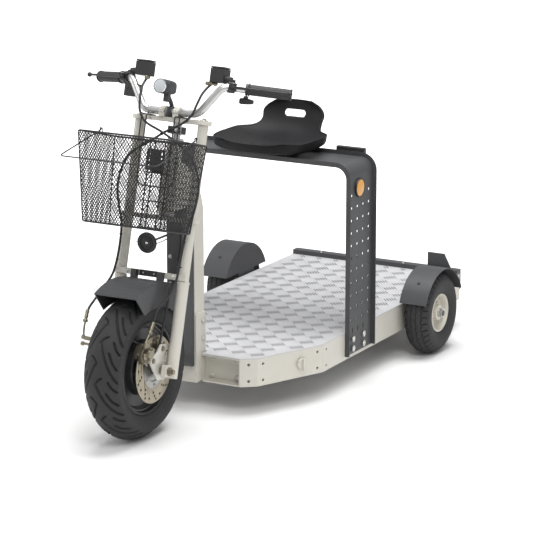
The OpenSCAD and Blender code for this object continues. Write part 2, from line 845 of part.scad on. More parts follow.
module seat_shell() {
  slot_height = 0.21 * back_height;
  slot_half = 0.079 * seat_width;
  color(black) from_front_axle() difference() {
    seat_form(0, 0);
    seat_form(seat_thick, seat_edge / 2);
    translate([0, seat_front + 0.6 * seat_length, pan_height + 0.606 * back_height]) {
      for (x = [-slot_half, slot_half]) translate([x, 0, 0]) along_y(0, seat_length, slot_height / 2);
      box([-slot_half, 0, -slot_height / 2], [slot_half, seat_length, slot_height / 2]);
    }
  }
}

// Rear axle beam with a stub at each end
beam_size = 38;
axle_plate_size = [90, 76];
axle_plate_thick = 6;
fender_inner = rear_track_half - rear_tyre_width / 2 - spin_gap - fender_wall;
hub_half = 30;
stub_reach = 14;
stub_end = rear_track_half + hub_half + stub_reach;

module axle_beam() {
  plate_end = half_deck + axle_plate_thick;
  color(dark_grey) from_front_axle() translate([0, rear_axle_y, rear_radius]) {
    box([-half_deck + rail_wall, -beam_size / 2, -beam_size / 2],
      [half_deck - rail_wall, beam_size / 2, beam_size / 2]);
    both_sides() {
      along_x(half_deck - rail_wall, stub_end, stub_radius);
      box([half_deck, -axle_plate_size.x / 2, -axle_plate_size.y / 2],
        [plate_end, axle_plate_size.x / 2, axle_plate_size.y / 2]);
      along_x(plate_end, rear_track_half - hub_half - run_gap, 1.6 * stub_radius);
    }
  }
}

module rear_axle_nuts() {
  start = rear_track_half + hub_half + run_gap;
  color(bright) from_front_axle() both_sides() translate([0, rear_axle_y, rear_radius]) difference() {
    union() {
      along_x(start, start + rail_wall, 1.5 * stub_radius);
      hex_x(start + rail_wall, stub_end - overrun, 1.5 * stub_radius);
    }
    along_x(start - overrun, stub_end, stub_radius);
  }
}

// Rear fender: a half-round strip with an inner side panel
fender_outer = rear_track_half + rear_tyre_width / 2 + spin_gap;
fender_from = -22;
fender_foot = 53;

module rear_fenders() {
  color(dark_grey) from_front_axle() translate([0, rear_axle_y, rear_radius]) both_sides() {
    difference() {
      along_x(fender_inner, fender_outer, fender_radius);
      along_x(fender_inner + fender_wall, fender_outer + overrun, fender_radius - fender_wall);
      box([fender_inner - overrun, -2 * fender_radius, -2 * fender_radius],
        [fender_outer + overrun, 2 * fender_radius, fender_foot]);
    }
    difference() {
      box([fender_inner, -fender_foot, -fender_foot],
        [fender_inner + fender_wall, fender_foot, fender_foot + overrun]);
      along_x(fender_inner - overrun, fender_inner + fender_wall + overrun, 1.6 * stub_radius);
    }
  }
}

// Round isolator switch on the left front rail
switch_radius = 13;
switch_body_depth = 26;
knob_radius = 17;
knob_depth = 16;
switch_along = 0.66;
switch_neck = 6;

module switch_place() {
  translate([nose_corner_x + switch_along * taper_run.x, nose_corner_y + switch_along * taper_run.y, rail_mid])
    rotate([0, 0, taper_angle]) children();
}

module switch_body() {
  color(black) from_front_axle() switch_place() difference() {
    union() {
      along_y(-rail_wall / 2, rail_wall + switch_body_depth, switch_radius);
      along_y(rail_wall, rail_wall + switch_body_depth, 1.4 * switch_radius);
    }
    along_y(-rail_wall, switch_body_depth / 2, switch_neck + fit_gap);
  }
}

module switch_knob() {
  grip_half = 3;
  start = rail_wall / 2 + run_gap;
  color(cream) from_front_axle() switch_place() union() {
    along_y(-start, switch_body_depth / 2 - run_gap, switch_neck);
    difference() {
      along_y(-start - knob_depth, -start, knob_radius);
      for (side = [-1, 1])
        translate([side * (knob_radius / 2 + grip_half), 0, 0])
          box([-knob_radius / 2, -start - knob_depth - overrun, -knob_radius],
            [knob_radius / 2, -start - knob_depth / 2, knob_radius]);
    }
  }
}

// Steering stem, clamps and fork legs, in the fork's frame
stem_low = head_low - bearing_flange - run_gap - clamp_thick;
stem_nut = 10;
lock_size = [44, 30, 22];

module steering_stem() {
  nut_z = head_low + head_length + bearing_flange + run_gap;
  color(bright) in_fork() translate([0, stem_offset, 0]) {
    translate([0, 0, stem_low]) cylinder(h = top_clamp_height + clamp_thick + stem_nut - stem_low, r = stem_radius);
    translate([0, 0, nut_z]) cylinder(h = stem_nut, r = head_radius);
    translate([0, 0, top_clamp_height + clamp_thick]) cylinder(h = stem_nut, r = 1.5 * stem_radius, $fn = 6);
    translate([-lock_size.x / 2, -lock_size.y / 2, top_clamp_height - lock_size.z - stem_nut])
      cube(lock_size);
  }
}

// A clamp plate with a boss round each leg and round the stem
leg_boss_wall = 8;
stem_boss_wall = 12;

module clamp_plate(height) {
  boss = leg_radius + leg_boss_wall;
  stem_boss = stem_radius + stem_boss_wall;
  translate([0, 0, height]) linear_extrude(clamp_thick) difference() {
    union() {
      translate([-leg_spacing, -boss * 0.8]) square([2 * leg_spacing, 1.6 * boss]);
      for (x = [-leg_spacing, leg_spacing]) translate([x, 0]) circle(r = boss);
      translate([0, stem_offset]) circle(r = stem_boss);
      translate([-stem_boss, 0]) square([2 * stem_boss, stem_offset]);
    }
    for (x = [-leg_spacing, leg_spacing]) translate([x, 0]) circle(r = leg_radius);
    translate([0, stem_offset]) circle(r = stem_radius);
  }
}

module top_clamp() {
  color(cream) in_fork() clamp_plate(top_clamp_height);
}

module lower_clamp() {
  color(cream) in_fork() clamp_plate(stem_low);
}

leg_low = -20;
collar = 2;
collar_low = 247;
dropout_thick = 14;
dropout_half = 17;

module fork_legs() {
  color(cream) in_fork() both_sides() translate([leg_spacing, 0, 0]) difference() {
    union() {
      translate([0, 0, leg_low]) cylinder(h = top_clamp_height + clamp_thick - leg_low, r = leg_radius);
      translate([0, 0, leg_low]) cylinder(h = collar_low - leg_low, r = leg_radius + collar);
      translate([-dropout_thick / 2, -leg_lead - dropout_half, -dropout_half])
        cube([dropout_thick, leg_lead + dropout_half, 2 * dropout_half]);
    }
    translate([0, -leg_lead, 0]) along_x(-leg_spacing / 2, leg_spacing / 2, front_axle_radius);
  }
}

// Bridge bolted to the front of the legs, above the fender
bridge_low = 257;
bridge_height = 17;
bridge_thick = 5;
bridge_bolt = 5;
bridge_half = leg_spacing + leg_radius;

module fork_bridge() {
  front = -leg_radius - bridge_thick;
  color(cream) in_fork() {
    translate([-bridge_half, front, bridge_low]) cube([2 * bridge_half, bridge_thick, bridge_height]);
    for (x = [-0.72 * leg_spacing, 0.72 * leg_spacing])
      translate([x, 0, bridge_low + bridge_height / 2])
        along_y(front - bridge_bolt / 2, front, bridge_bolt);
  }
}

// Front fender, drawn from the side about the axle as [y, z]
front_fender_radius = 249;
front_fender_half = 69;
front_fender_wall = 3;
front_fender_cut = 178;
fender_start_angle = 42;
fender_end_angle = 126;
fender_lip = 16;

module front_fender() {
  front_edge = [front_fender_radius * cos(fender_end_angle - 14), front_fender_radius * sin(fender_end_angle - 14)];
  outer = arc([0, 0], front_fender_radius, fender_start_angle, fender_end_angle - 12, 16);
  inner = arc([0, 0], front_fender_radius - front_fender_wall, fender_end_angle - 12, fender_start_angle, 16);
  cut = arc([0, 0], front_fender_cut, fender_end_angle - 18, fender_start_angle, 16);
  stay_low = front_fender_radius - front_fender_wall;
  color(dark_grey) from_front_axle() translate([0, 0, front_radius]) {
    side_plate(-front_fender_half, front_fender_half)
      polygon(concat(outer, inner));
    both_sides() side_plate(front_fender_half - front_fender_wall, front_fender_half)
      polygon(concat(outer, cut));
  }
  color(dark_grey) in_fork() both_sides()
    box([leg_spacing / 3, -leg_radius - bridge_thick - leg_radius, stay_low],
      [leg_spacing / 2, -leg_radius - bridge_thick, bridge_low + bridge_height]);
}

// Front axle with its nuts
axle_nut = 9;

module front_axle() {
  nut_start = leg_spacing + dropout_thick / 2;
  color(bright) in_fork() translate([0, -leg_lead, 0]) {
    along_x(-nut_start - 2 * axle_nut, nut_start + 2 * axle_nut, front_axle_radius);
    both_sides() {
      hex_x(nut_start, nut_start + axle_nut, 1.7 * front_axle_radius);
      along_x(motor_width / 2 + run_gap, bracket_start, 1.5 * front_axle_radius);
      along_x(bracket_start + caliper_plate, leg_spacing - dropout_thick / 2, 1.5 * front_axle_radius);
    }
  }
}

// Caliper plates and calipers, drawn from the side about the axle in the fork's frame as [y, z]
caliper_plate = 6;
bracket_gap = 17;
caliper_jaw = 11;
bracket_start = disc_offset + bracket_gap;
caliper_angle = 150;
caliper_size = [0, 54, 46];

module caliper_brackets() {
  color(bright) in_fork() translate([0, -leg_lead, 0]) both_sides() difference() {
    side_plate(bracket_start, bracket_start + caliper_plate)
      polygon([
        [0.3 * disc_radius, -0.25 * disc_radius], [0.56 * disc_radius, 0.1 * disc_radius],
        [0.56 * disc_radius, 0.77 * disc_radius], [-0.14 * disc_radius, 0.75 * disc_radius],
        [-0.3 * disc_radius, 0.5 * disc_radius], [-0.62 * disc_radius, 0.3 * disc_radius],
        [-0.6 * disc_radius, 0.16 * disc_radius], [-0.1 * disc_radius, -0.3 * disc_radius]]);
    along_x(bracket_start - overrun, bracket_start + caliper_plate + overrun, front_axle_radius);
    box([bracket_start - overrun, 0.16 * disc_radius, 0.28 * disc_radius],
      [bracket_start + caliper_plate + overrun, 0.34 * disc_radius, 0.6 * disc_radius]);
  }
}

module calipers() {
  slot = disc_thick / 2 + overrun;
  inner = disc_offset - slot - caliper_jaw;
  color(disc_brass) in_fork() translate([0, -leg_lead, 0]) both_sides()
    rotate([caliper_angle - 90, 0, 0]) difference() {
      union() {
        box([inner, -caliper_size.y / 2, disc_radius - caliper_size.z * 0.62],
          [bracket_start, caliper_size.y / 2, disc_radius + caliper_size.z * 0.3]);
        translate([0, 0, disc_radius - caliper_size.z * 0.2])
          along_x(bracket_start - overrun, bracket_start + caliper_plate + caliper_jaw, 0.3 * caliper_size.z);
      }
      along_x(disc_offset - slot, disc_offset + slot, disc_radius + 2 * overrun);
    }
}

// Handlebar, in the fork's frame, from its middle out to the left grip's end
bar_set_forward = 11;
bar_z = top_clamp_height + clamp_thick + bar_radius + bar_clamp_wall;
bar_y = -bar_set_forward;
grip_z = bar_z + bar_rise;
grip_start = [1.82 * leg_spacing, 0.35 * leg_spacing, grip_z];
grip_sweep = 27;
grip_vector = [cos(grip_sweep), sin(grip_sweep), 0];
bar_bend = 13;
bar_sides = 20;
bar_end = grip_start + grip_length * grip_vector;
bar_shoulder = [1.45 * leg_spacing, 0.02 * leg_spacing, grip_z];
bar_knee = [0.86 * leg_spacing, bar_y, bar_z];

function mirrored(points) =
  [for (i = [len(points) - 1 : -1 : 0]) [-points[i].x, points[i].y, points[i].z]];

module handlebar() {
  half = [bar_knee, bar_shoulder, grip_start, bar_end];
  color(cream) in_fork()
    tube(rounded(concat(mirrored(half), half), bar_bend, 4), bar_radius, bar_sides);
}

clamp_half = 9;
bar_clamp_x = 0.22 * leg_spacing;

module bar_clamps() {
  low = top_clamp_height + clamp_thick;
  outer = bar_radius + bar_clamp_wall;
  color(cream) in_fork() both_sides() translate([bar_clamp_x, 0, 0]) difference() {
    union() {
      translate([0, bar_y, bar_z]) along_x(-clamp_half, clamp_half, outer);
      box([-clamp_half, bar_y - outer, low], [clamp_half, bar_y + outer, bar_z]);
    }
    translate([0, bar_y, bar_z]) along_x(-clamp_half - overrun, clamp_half + overrun, bar_radius);
  }
}

// A grip over the bar's end, with ribs
grip_gap = bar_bend + 8;

module grip_tube(clear) {
  translate(grip_start) rotate([0, 0, grip_sweep]) difference() {
    union() {
      along_x(grip_gap, grip_length + grip_flange, grip_radius);
      along_x(grip_gap, grip_gap + grip_flange, grip_radius + grip_flange);
      along_x(grip_length, grip_length + grip_flange, grip_radius + grip_flange / 2);
    }
    along_x(0, grip_length + fit_gap, bar_radius + clear);
  }
}

module grip_left() {
  color(black) in_fork() grip_tube(0);
}

module throttle_grip() {
  color(black) in_fork() mirror([1, 0, 0]) grip_tube(fit_gap);
}

// Brake cylinders with square reservoirs, clamped on the bar between its bends
housing_half = 11;
pivot_radius = 4;
lever_half = 5;
lever_ahead = 24;
reservoir_size = [44, 38, 45];
reservoir_rise = 32.5;
cylinder_radius = 9;
cylinder_rise = bar_radius + cylinder_radius + 1.2;
neck_width = 20;
pod_size = [56, 26, 41];
pod_inset = 18;
pod_setback = 7.5;
pod_drop = 33.5;
shoulder_run = grip_start - bar_shoulder;
shoulder_vector = shoulder_run / norm(shoulder_run);
shoulder_sweep = atan2(shoulder_run.y, shoulder_run.x);
clamp_middle = bar_shoulder + shoulder_run * 0.45;
lever_pivot = clamp_middle + lever_ahead * [sin(shoulder_sweep), -cos(shoulder_sweep), 0];
reservoir_middle = [1.19 * leg_spacing, 0.23 * leg_spacing, grip_z + reservoir_rise];

module brake_cylinders() {
  clevis = 2 * pivot_radius + run_gap;
  collar_radius = bar_radius + bar_clamp_wall;
  color(black) in_fork() both_sides() {
    difference() {
      union() {
        translate(reservoir_middle - reservoir_size / 2) cube(reservoir_size);
        rod(reservoir_middle - [0, 0, reservoir_rise - cylinder_rise],
          clamp_middle + [0, 0, cylinder_rise], cylinder_radius);
        translate(clamp_middle) rotate([0, 0, shoulder_sweep]) {
          along_x(-neck_width / 2, neck_width / 2, collar_radius);
          box([-neck_width / 2, -lever_ahead - pivot_radius, -housing_half],
            [neck_width / 2, 0, housing_half]);
        }
      }
      translate(clamp_middle) rotate([0, 0, shoulder_sweep]) {
        along_x(-neck_width, neck_width, bar_radius);
        box([-neck_width, -lever_ahead - clevis, -lever_half - run_gap],
          [neck_width, -lever_ahead + clevis, lever_half + run_gap]);
      }
    }
    translate(grip_start) rotate([0, 0, grip_sweep]) difference() {
      along_x(bar_bend, grip_gap - run_gap, collar_radius);
      along_x(0, grip_gap + overrun, bar_radius);
    }
  }
  color(black) in_fork() {
    translate(thumb_pivot - [0, 0, thumb_thick - run_gap])
      cylinder(h = thumb_thick - run_gap + grip_radius / 2, r = thumb_pin);
    mirror([1, 0, 0])
      translate([clamp_middle.x - pod_inset, clamp_middle.y + pod_setback, grip_z - pod_drop] - pod_size / 2)
        cube(pod_size);
  }
  color(bright) in_fork() both_sides()
    translate([lever_pivot.x, lever_pivot.y, grip_z - housing_half - run_gap])
      cylinder(h = 2 * (housing_half + run_gap), r = pivot_radius);
}

lever_tip = [3.2 * leg_spacing, 0.6 * leg_spacing, grip_z];

module brake_lever() {
  ball = 7;
  difference() {
    union() {
      translate([lever_pivot.x, lever_pivot.y, grip_z - lever_half])
        cylinder(h = 2 * lever_half, r = 2 * pivot_radius);
      rod(lever_pivot, lever_tip, lever_half);
      translate(lever_tip) sphere(r = ball);
    }
    translate([lever_pivot.x, lever_pivot.y, grip_z - 2 * lever_half])
      cylinder(h = 4 * lever_half, r = pivot_radius + fit_gap);
  }
}

module brake_lever_left() {
  color(black) in_fork() brake_lever();
}

module brake_lever_right() {
  color(black) in_fork() mirror([1, 0, 0]) brake_lever();
}

// Thumb lever under the left grip's inner end, on a pin below the collar
thumb_radius = 7;
thumb_pin = 2.5;
thumb_thick = 6;
thumb_turn = 25;
thumb_pad = [46, 8, 17];
thumb_back = 20;
grip_flange = 3;
thumb_pivot = grip_start + (bar_bend + grip_gap) / 2 * grip_vector
  - [0, 0, grip_radius + grip_flange + 2 * run_gap];

module thumb_lever() {
  color(black) in_fork() translate(thumb_pivot) difference() {
    union() {
      translate([0, 0, -thumb_thick - overrun]) cylinder(h = thumb_thick + overrun, r = thumb_radius);
      rotate([0, 0, grip_sweep - thumb_turn])
        translate([-thumb_back, -thumb_pad.y / 2, -thumb_thick - thumb_pad.z]) cube(thumb_pad);
    }
    translate([0, 0, -thumb_thick]) cylinder(h = thumb_thick + overrun, r = thumb_pin + fit_gap);
  }
}

// Headlamp on an arm from the top clamp
headlamp_radius = 21;
headlamp_depth = 74;
headlamp_rise = 66;
headlamp_z = bar_z + headlamp_rise;
headlamp_front = -92;
headlamp_arm = 7;

module headlamp() {
  color(dark_grey) in_fork() {
    translate([0, 0, headlamp_z]) difference() {
      union() {
        along_y(headlamp_front, headlamp_front + 0.6 * headlamp_depth, headlamp_radius);
        translate([0, headlamp_front + 0.6 * headlamp_depth, 0]) rotate([-90, 0, 0])
          cylinder(h = 0.4 * headlamp_depth, r1 = headlamp_radius, r2 = 0.7 * headlamp_radius);
      }
      along_y(headlamp_front - overrun, headlamp_front + 0.25 * headlamp_depth,
        headlamp_radius - 2);
    }
    translate([0, bar_y, bar_z]) difference() {
      along_x(-headlamp_arm, headlamp_arm, bar_radius + bar_clamp_wall);
      along_x(-2 * headlamp_arm, 2 * headlamp_arm, bar_radius);
    }
    rod([0, bar_y, bar_z + bar_radius + bar_clamp_wall / 2],
      [0, headlamp_front + 0.7 * headlamp_depth, headlamp_z - 0.7 * headlamp_radius], headlamp_arm);
  }
}

module headlamp_lens() {
  color(lens_grey) in_fork() translate([0, 0, headlamp_z])
    along_y(headlamp_front - overrun, headlamp_front + 0.25 * headlamp_depth, headlamp_radius - 2);
}

// Brake hoses and the motor's cable, in the fork's frame, set out for one height of the top clamp
hose_radius = 3.6;
hose_sides = 8;
hose_clamp_height = 701;
hose_bend_low = 262;
hose_to_left = [
  [-112, 24, 822.6], [-107, 10, 818], [-101, -20, 790], [-94, -34, 755], [-88, -36, 722], [-64, -36, 692],
  [-6, -36, 668], [40, -36, 645], [92, -36, 612], [124, -34, 560], [133, -32, 510], [124, -28, 450],
  [108, -26, 400], [101, -26, 330], [99, -32, 262], [92, -52, 210], [80, -84, 168], [78, -92, 140],
  [78, -92, 112]];
hose_to_right = [
  [112, 24, 822.6], [106, 10, 818], [99, -18, 790], [90, -28, 755], [78, -30, 722], [44, -27, 694],
  [-1, -26, 671], [-50, -30, 636], [-104, -36, 596], [-130, -32, 540], [-131, -32, 490], [-120, -28, 440],
  [-108, -26, 400], [-105, -26, 330], [-108, -32, 262], [-112, -52, 210], [-96, -84, 168],
  [-82, -92, 140], [-78, -92, 112]];
motor_cable = [
  [64, 6, 420], [66, 14, 390], [68, 20, 350], [70, 14, 312], [74, -2, 286], [76, -3, 270],
  [76.5, -6, 256], [77, -24, 226], [76.5, -28, 166], [71, -30, 90], [71, -32, 52], [71, -32, 16]];

// A route whose upper stretch moves with the top clamp
function hung(route) =
  [for (p = route)
    let (share = (p.z - hose_bend_low) / (hose_clamp_height - hose_bend_low))
    p + [0, 0, (top_clamp_height - hose_clamp_height) * min(max(share, 0), 1)]];

module brake_hoses() {
  color(black) in_fork() {
    tube(spline(hung(hose_to_left), 2), hose_radius, hose_sides);
    tube(spline(hung(hose_to_right), 2), hose_radius, hose_sides);
    tube(spline(motor_cable, 2), hose_radius, hose_sides);
  }
}

// Basket, in the fork's frame: its back stands in front of the legs
basket_back = -50;
basket_low = 391;
basket_rim = basket_low + basket_height;
mesh_thick = 2;
mesh_bar = 4;
mesh_shrink = 1;
half_rim = basket_width / 2;
half_floor = basket_floor_width / 2;
rim_front = basket_back - basket_depth;
floor_front = basket_back - basket_floor_depth;

// A flat net: a plate with sloping ends, and square gaps inside it. Its ends are [left, right].
module net(low_ends, top_ends, height, columns, rows) {
  row = (height - mesh_bar) / rows;
  difference() {
    polygon([[low_ends[0], 0], [low_ends[1], 0], [top_ends[1], height], [top_ends[0], height]]);
    for (r = [0 : rows - 1]) {
      middle = (mesh_bar + row * (r + 0.5)) / height;
      left = low_ends[0] + (top_ends[0] - low_ends[0]) * middle + mesh_bar;
      right = low_ends[1] + (top_ends[1] - low_ends[1]) * middle - mesh_bar;
      step = (right - left + mesh_bar) / columns;
      for (c = [0 : columns - 1])
        translate([left + c * step, mesh_bar + r * row]) square([step - mesh_bar, row - mesh_bar]);
    }
  }
}

// A rectangle with round corners
module round_rect(half_x, y0, y1, radius) {
  translate([-half_x, y0 + radius]) square([2 * half_x, y1 - y0 - 2 * radius]);
  translate([-half_x + radius, y0]) square([2 * half_x - 2 * radius, y1 - y0]);
  for (x = [-half_x + radius, half_x - radius], y = [y0 + radius, y1 - radius])
    translate([x, y]) circle(r = radius);
}

// A frame of wire round the basket
module wire_frame(half_x, y0, y1, z) {
  w = basket_wire;
  translate([0, 0, z - w]) linear_extrude(2 * w) difference() {
    round_rect(half_x + w, y0 - w, y1 + w, basket_corner + w);
    round_rect(half_x - w, y0 + w, y1 - w, basket_corner - w);
  }
}

module basket_mesh() {
  side_lean = half_rim - half_floor;
  front_lean = floor_front - rim_front;
  color(black) in_fork() {
    translate([0, 0, basket_low]) {
      translate([0, basket_back, 0])
        rotate([90, 0, 0]) linear_extrude(mesh_thick)
          net([-half_floor, half_floor], [-half_rim, half_rim], basket_height, 12, 7);
      translate([0, floor_front, 0])
        rotate([90 + atan2(front_lean, basket_height), 0, 0])
          translate([0, 0, -mesh_thick / 2]) linear_extrude(mesh_thick)
            net([-half_floor, half_floor], [-half_rim, half_rim],
              norm([basket_height, front_lean]), 12, 7);
      both_sides() translate([half_floor, 0, 0])
        rotate([0, atan2(side_lean, basket_height), 0])
          rotate([90, 0, 90]) translate([0, 0, -mesh_thick / 2]) linear_extrude(mesh_thick)
            net([floor_front, basket_back], [rim_front, basket_back],
              norm([basket_height, side_lean]), 6, 7);
      translate([0, 0, -mesh_thick / 2]) linear_extrude(mesh_thick)
        translate([0, floor_front])
          net([-half_floor, half_floor], [-half_floor, half_floor], basket_floor_depth, 8, 4);
    }
    wire_frame(half_rim, rim_front, basket_back, basket_rim);
    wire_frame(half_floor, floor_front, basket_back, basket_low);
  }
}

strut_x_shares = [-0.11, -0.055, 0.055, 0.11];
plate_half = 17;
plate_z = 570;
hook_x_shares = [-0.22, 0.14];
hook_half = 8;
basket_corner = 6;
wire_sides = 8;

// Struts, mount plate and hooks behind the basket's back
module basket_frame() {
  back = basket_back + 1.8 * basket_wire;
  hook_top = top_clamp_height + clamp_thick + 0.8 * basket_wire;
  color(black) in_fork() {
    for (share = strut_x_shares)
      tube([[share * basket_width, back, basket_low + mesh_bar], [share * basket_width, back, basket_rim]],
        0.8 * basket_wire, wire_sides);
    for (z = [basket_low + mesh_bar, basket_rim - mesh_bar])
      translate([-0.14 * basket_width, back - 0.8 * basket_wire, z])
        cube([0.28 * basket_width, mesh_bar, mesh_bar]);
    translate([-plate_half, back, plate_z - 1.2 * plate_half])
      cube([2 * plate_half, 2 * basket_wire, 2.4 * plate_half]);
    for (share = hook_x_shares) {
      x = share * basket_width;
      tube(rounded([[x - hook_half, back, basket_rim - mesh_bar], [x - hook_half, back, hook_top],
        [x - hook_half, 0, hook_top], [x + hook_half, 0, hook_top],
        [x + hook_half, back, hook_top], [x + hook_half, back, basket_rim - mesh_bar]],
        hook_half / 2, 3), 0.8 * basket_wire, wire_sides);
      translate([x - 1.5 * hook_half, back - 0.8 * basket_wire, basket_rim - mesh_bar])
        cube([3 * hook_half, mesh_bar, mesh_bar]);
    }
  }
}

// Bail handle, folded forward over the basket
bail_side_gap = 5;
bail_set_forward = 72;
bail_set_up = 11;
bail_pivot = [half_rim + bail_side_gap, basket_back - bail_set_forward, basket_rim + bail_set_up];
bail_reach = 196;
bail_drop = 90;
bail_wire = 2;

module basket_bail() {
  end = [bail_pivot.x, bail_pivot.y - bail_reach, bail_pivot.z - bail_drop];
  half = [end, bail_pivot];
  color(bright) in_fork()
    tube(rounded(concat(mirrored(half), half), 4 * bail_wire, 3), bail_wire, wire_sides);
}

// A tyre's section, as [radius, place across it]
crown_angle = 50;
function tyre_section(outer, bead, width) =
  concat([[bead, -0.36 * width], [bead + 0.16 * (outer - bead), -0.44 * width]],
    [[bead + 0.45 * (outer - bead), -0.5 * width], [bead + 0.7 * (outer - bead), -0.48 * width]],
    arc([outer - 0.55 * width, 0], 0.55 * width, -crown_angle, crown_angle, 10),
    [[bead + 0.7 * (outer - bead), 0.48 * width], [bead + 0.45 * (outer - bead), 0.5 * width]],
    [[bead + 0.16 * (outer - bead), 0.44 * width], [bead, 0.36 * width]]);

module turned_x() {
  rotate([0, 90, 0]) rotate_extrude() children();
}

groove_depth = 5;

module front_tyre() {
  color(tyre_black) from_front_axle() translate([0, 0, front_radius]) turned_x() difference() {
    polygon(tyre_section(front_radius, front_bead_radius, front_tyre_width));
    for (y = [-0.3, 0, 0.3])
      translate([front_radius - groove_depth - 8 * abs(y), y * front_tyre_width - groove_depth / 2])
        square([2 * groove_depth, groove_depth]);
  }
}

module front_hub() {
  rim_half = 0.36 * front_tyre_width;
  rim_wall = 7;
  web_half = 9;
  carrier = 0.55 * disc_radius;
  motor_half = motor_width / 2;
  color(black) from_front_axle() translate([0, 0, front_radius]) {
    turned_x() polygon([
      [front_axle_radius + fit_gap, -motor_half], [motor_radius - rim_wall, -motor_half],
      [motor_radius, -motor_half + rim_wall], [motor_radius, -web_half],
      [front_bead_radius - rim_wall, -web_half], [front_bead_radius - rim_wall, -rim_half],
      [front_bead_radius, -rim_half], [front_bead_radius, rim_half],
      [front_bead_radius - rim_wall, rim_half], [front_bead_radius - rim_wall, web_half],
      [motor_radius, web_half], [motor_radius, motor_half - rim_wall],
      [motor_radius - rim_wall, motor_half], [front_axle_radius + fit_gap, motor_half]]);
    both_sides() turned_x() polygon([
      [carrier - 2 * rim_wall, motor_half], [carrier, motor_half],
      [carrier, disc_offset + disc_thick / 2], [carrier - 2 * rim_wall, disc_offset + disc_thick / 2]]);
  }
}

module brake_discs() {
  inner = 0.55 * disc_radius;
  color(disc_brass) from_front_axle() translate([0, 0, front_radius]) both_sides() difference() {
    along_x(disc_offset - disc_thick / 2, disc_offset + disc_thick / 2, disc_radius);
    along_x(disc_offset - disc_thick, disc_offset + disc_thick, inner);
  }
}

// A rear wheel: tyre and cream rim, turning on the stub axle
module rear_wheel_place() {
  from_front_axle() translate([rear_track_half, rear_axle_y, rear_radius]) turned_x() children();
}

module rear_tyre() {
  color(tyre_black) rear_wheel_place()
    polygon(tyre_section(rear_radius, rear_bead_radius, rear_tyre_width));
}

module rear_hub() {
  rim_half = 0.36 * rear_tyre_width;
  rim_wall = 5;
  web_half = 4;
  hub_radius = 24;
  color(cream) rear_wheel_place() polygon([
    [stub_radius + fit_gap, -hub_half], [hub_radius, -hub_half], [hub_radius, -web_half],
    [rear_bead_radius - rim_wall, -web_half], [rear_bead_radius - rim_wall, -rim_half],
    [rear_bead_radius, -rim_half], [rear_bead_radius, rim_half],
    [rear_bead_radius - rim_wall, rim_half], [rear_bead_radius - rim_wall, web_half],
    [hub_radius, web_half], [hub_radius, hub_half], [stub_radius + fit_gap, hub_half]]);
}

module rear_tyre_left() {
  rear_tyre();
}

module rear_tyre_right() {
  mirror([1, 0, 0]) rear_tyre();
}

module rear_hub_left() {
  rear_hub();
}

module rear_hub_right() {
  mirror([1, 0, 0]) rear_hub();
}

deck_plate();
front_rails();
side_rails();
front_channels();
cross_members();
rear_bumper();
plate_tab();
battery_tray();
battery_pack();
motor_controller();
steering_tower();
tower_brackets();
head_tube();
head_bearings();
front_shield();
horn();
horn_bracket();
seat_arch();
arch_bolts();
reflector_bases();
reflector_lenses();
tail_lamp_housing();
tail_lamp_lens();
seat_mount();
seat_shell();
axle_beam();
rear_axle_nuts();
rear_fenders();
switch_body();
switch_knob();
steering_stem();
top_clamp();
lower_clamp();
fork_legs();
fork_bridge();
front_fender();
front_axle();
calipers();
caliper_brackets();
handlebar();
bar_clamps();
grip_left();
throttle_grip();
brake_cylinders();
brake_lever_left();
brake_lever_right();
thumb_lever();
headlamp();
headlamp_lens();
brake_hoses();
basket_mesh();
basket_frame();
basket_bail();
front_tyre();
front_hub();
brake_discs();
rear_tyre_left();
rear_tyre_right();
rear_hub_left();
rear_hub_right();
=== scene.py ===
import json
from math import copysign, cos, hypot, pi, radians, sin, sqrt

import bmesh
import bpy
import numpy as np
from mathutils import Matrix, Vector


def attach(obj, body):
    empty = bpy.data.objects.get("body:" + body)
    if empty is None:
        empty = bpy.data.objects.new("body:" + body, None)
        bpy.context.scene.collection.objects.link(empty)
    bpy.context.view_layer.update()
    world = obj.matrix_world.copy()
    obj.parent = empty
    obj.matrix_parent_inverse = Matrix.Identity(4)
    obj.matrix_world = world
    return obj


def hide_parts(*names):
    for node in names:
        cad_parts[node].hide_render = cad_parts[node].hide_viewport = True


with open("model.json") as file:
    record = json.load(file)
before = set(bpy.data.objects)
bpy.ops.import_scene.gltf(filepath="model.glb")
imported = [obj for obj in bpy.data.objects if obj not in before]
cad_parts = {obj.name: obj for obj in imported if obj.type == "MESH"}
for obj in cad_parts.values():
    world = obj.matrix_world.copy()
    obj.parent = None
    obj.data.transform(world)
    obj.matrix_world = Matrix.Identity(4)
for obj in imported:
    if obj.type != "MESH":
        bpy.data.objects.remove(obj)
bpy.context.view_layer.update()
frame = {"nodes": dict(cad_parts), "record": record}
nodes = frame["nodes"]


def slide(x, y, z):
    return Matrix.Translation((x, y, z))


def turn(degrees, axis):
    return Matrix.Rotation(radians(degrees), 4, axis)


def aimed(place, along, at=None):
    """A frame that stands on a place with its Z pointing along."""
    way = slide(*place) @ Vector(along).to_track_quat("Z", "Y").to_matrix().to_4x4()
    return at @ way if at else way


# The fork's own frame and the front axle's frame, in millimetres
FRONT_Y = -0.665
RAKE, LEAD, AXLE_HEIGHT = 15.2, 0.032, 0.21
MM = Matrix.Scale(0.001, 4)
FORK_MM = slide(0, FRONT_Y, AXLE_HEIGHT) @ turn(-RAKE, "X") @ slide(0, LEAD, 0) @ MM
AXLE_MM = slide(0, FRONT_Y, 0) @ MM
TO_X = turn(90, "Y")
TO_Y = turn(-90, "X")
TO_FRONT = turn(90, "X")
UPRIGHT = turn(90, "Z") @ TO_FRONT
OTHER_SIDE = Matrix.Scale(-1, 4, (1, 0, 0))
FLIPS = (Matrix.Identity(4), OTHER_SIDE)


# Materials
M = {}


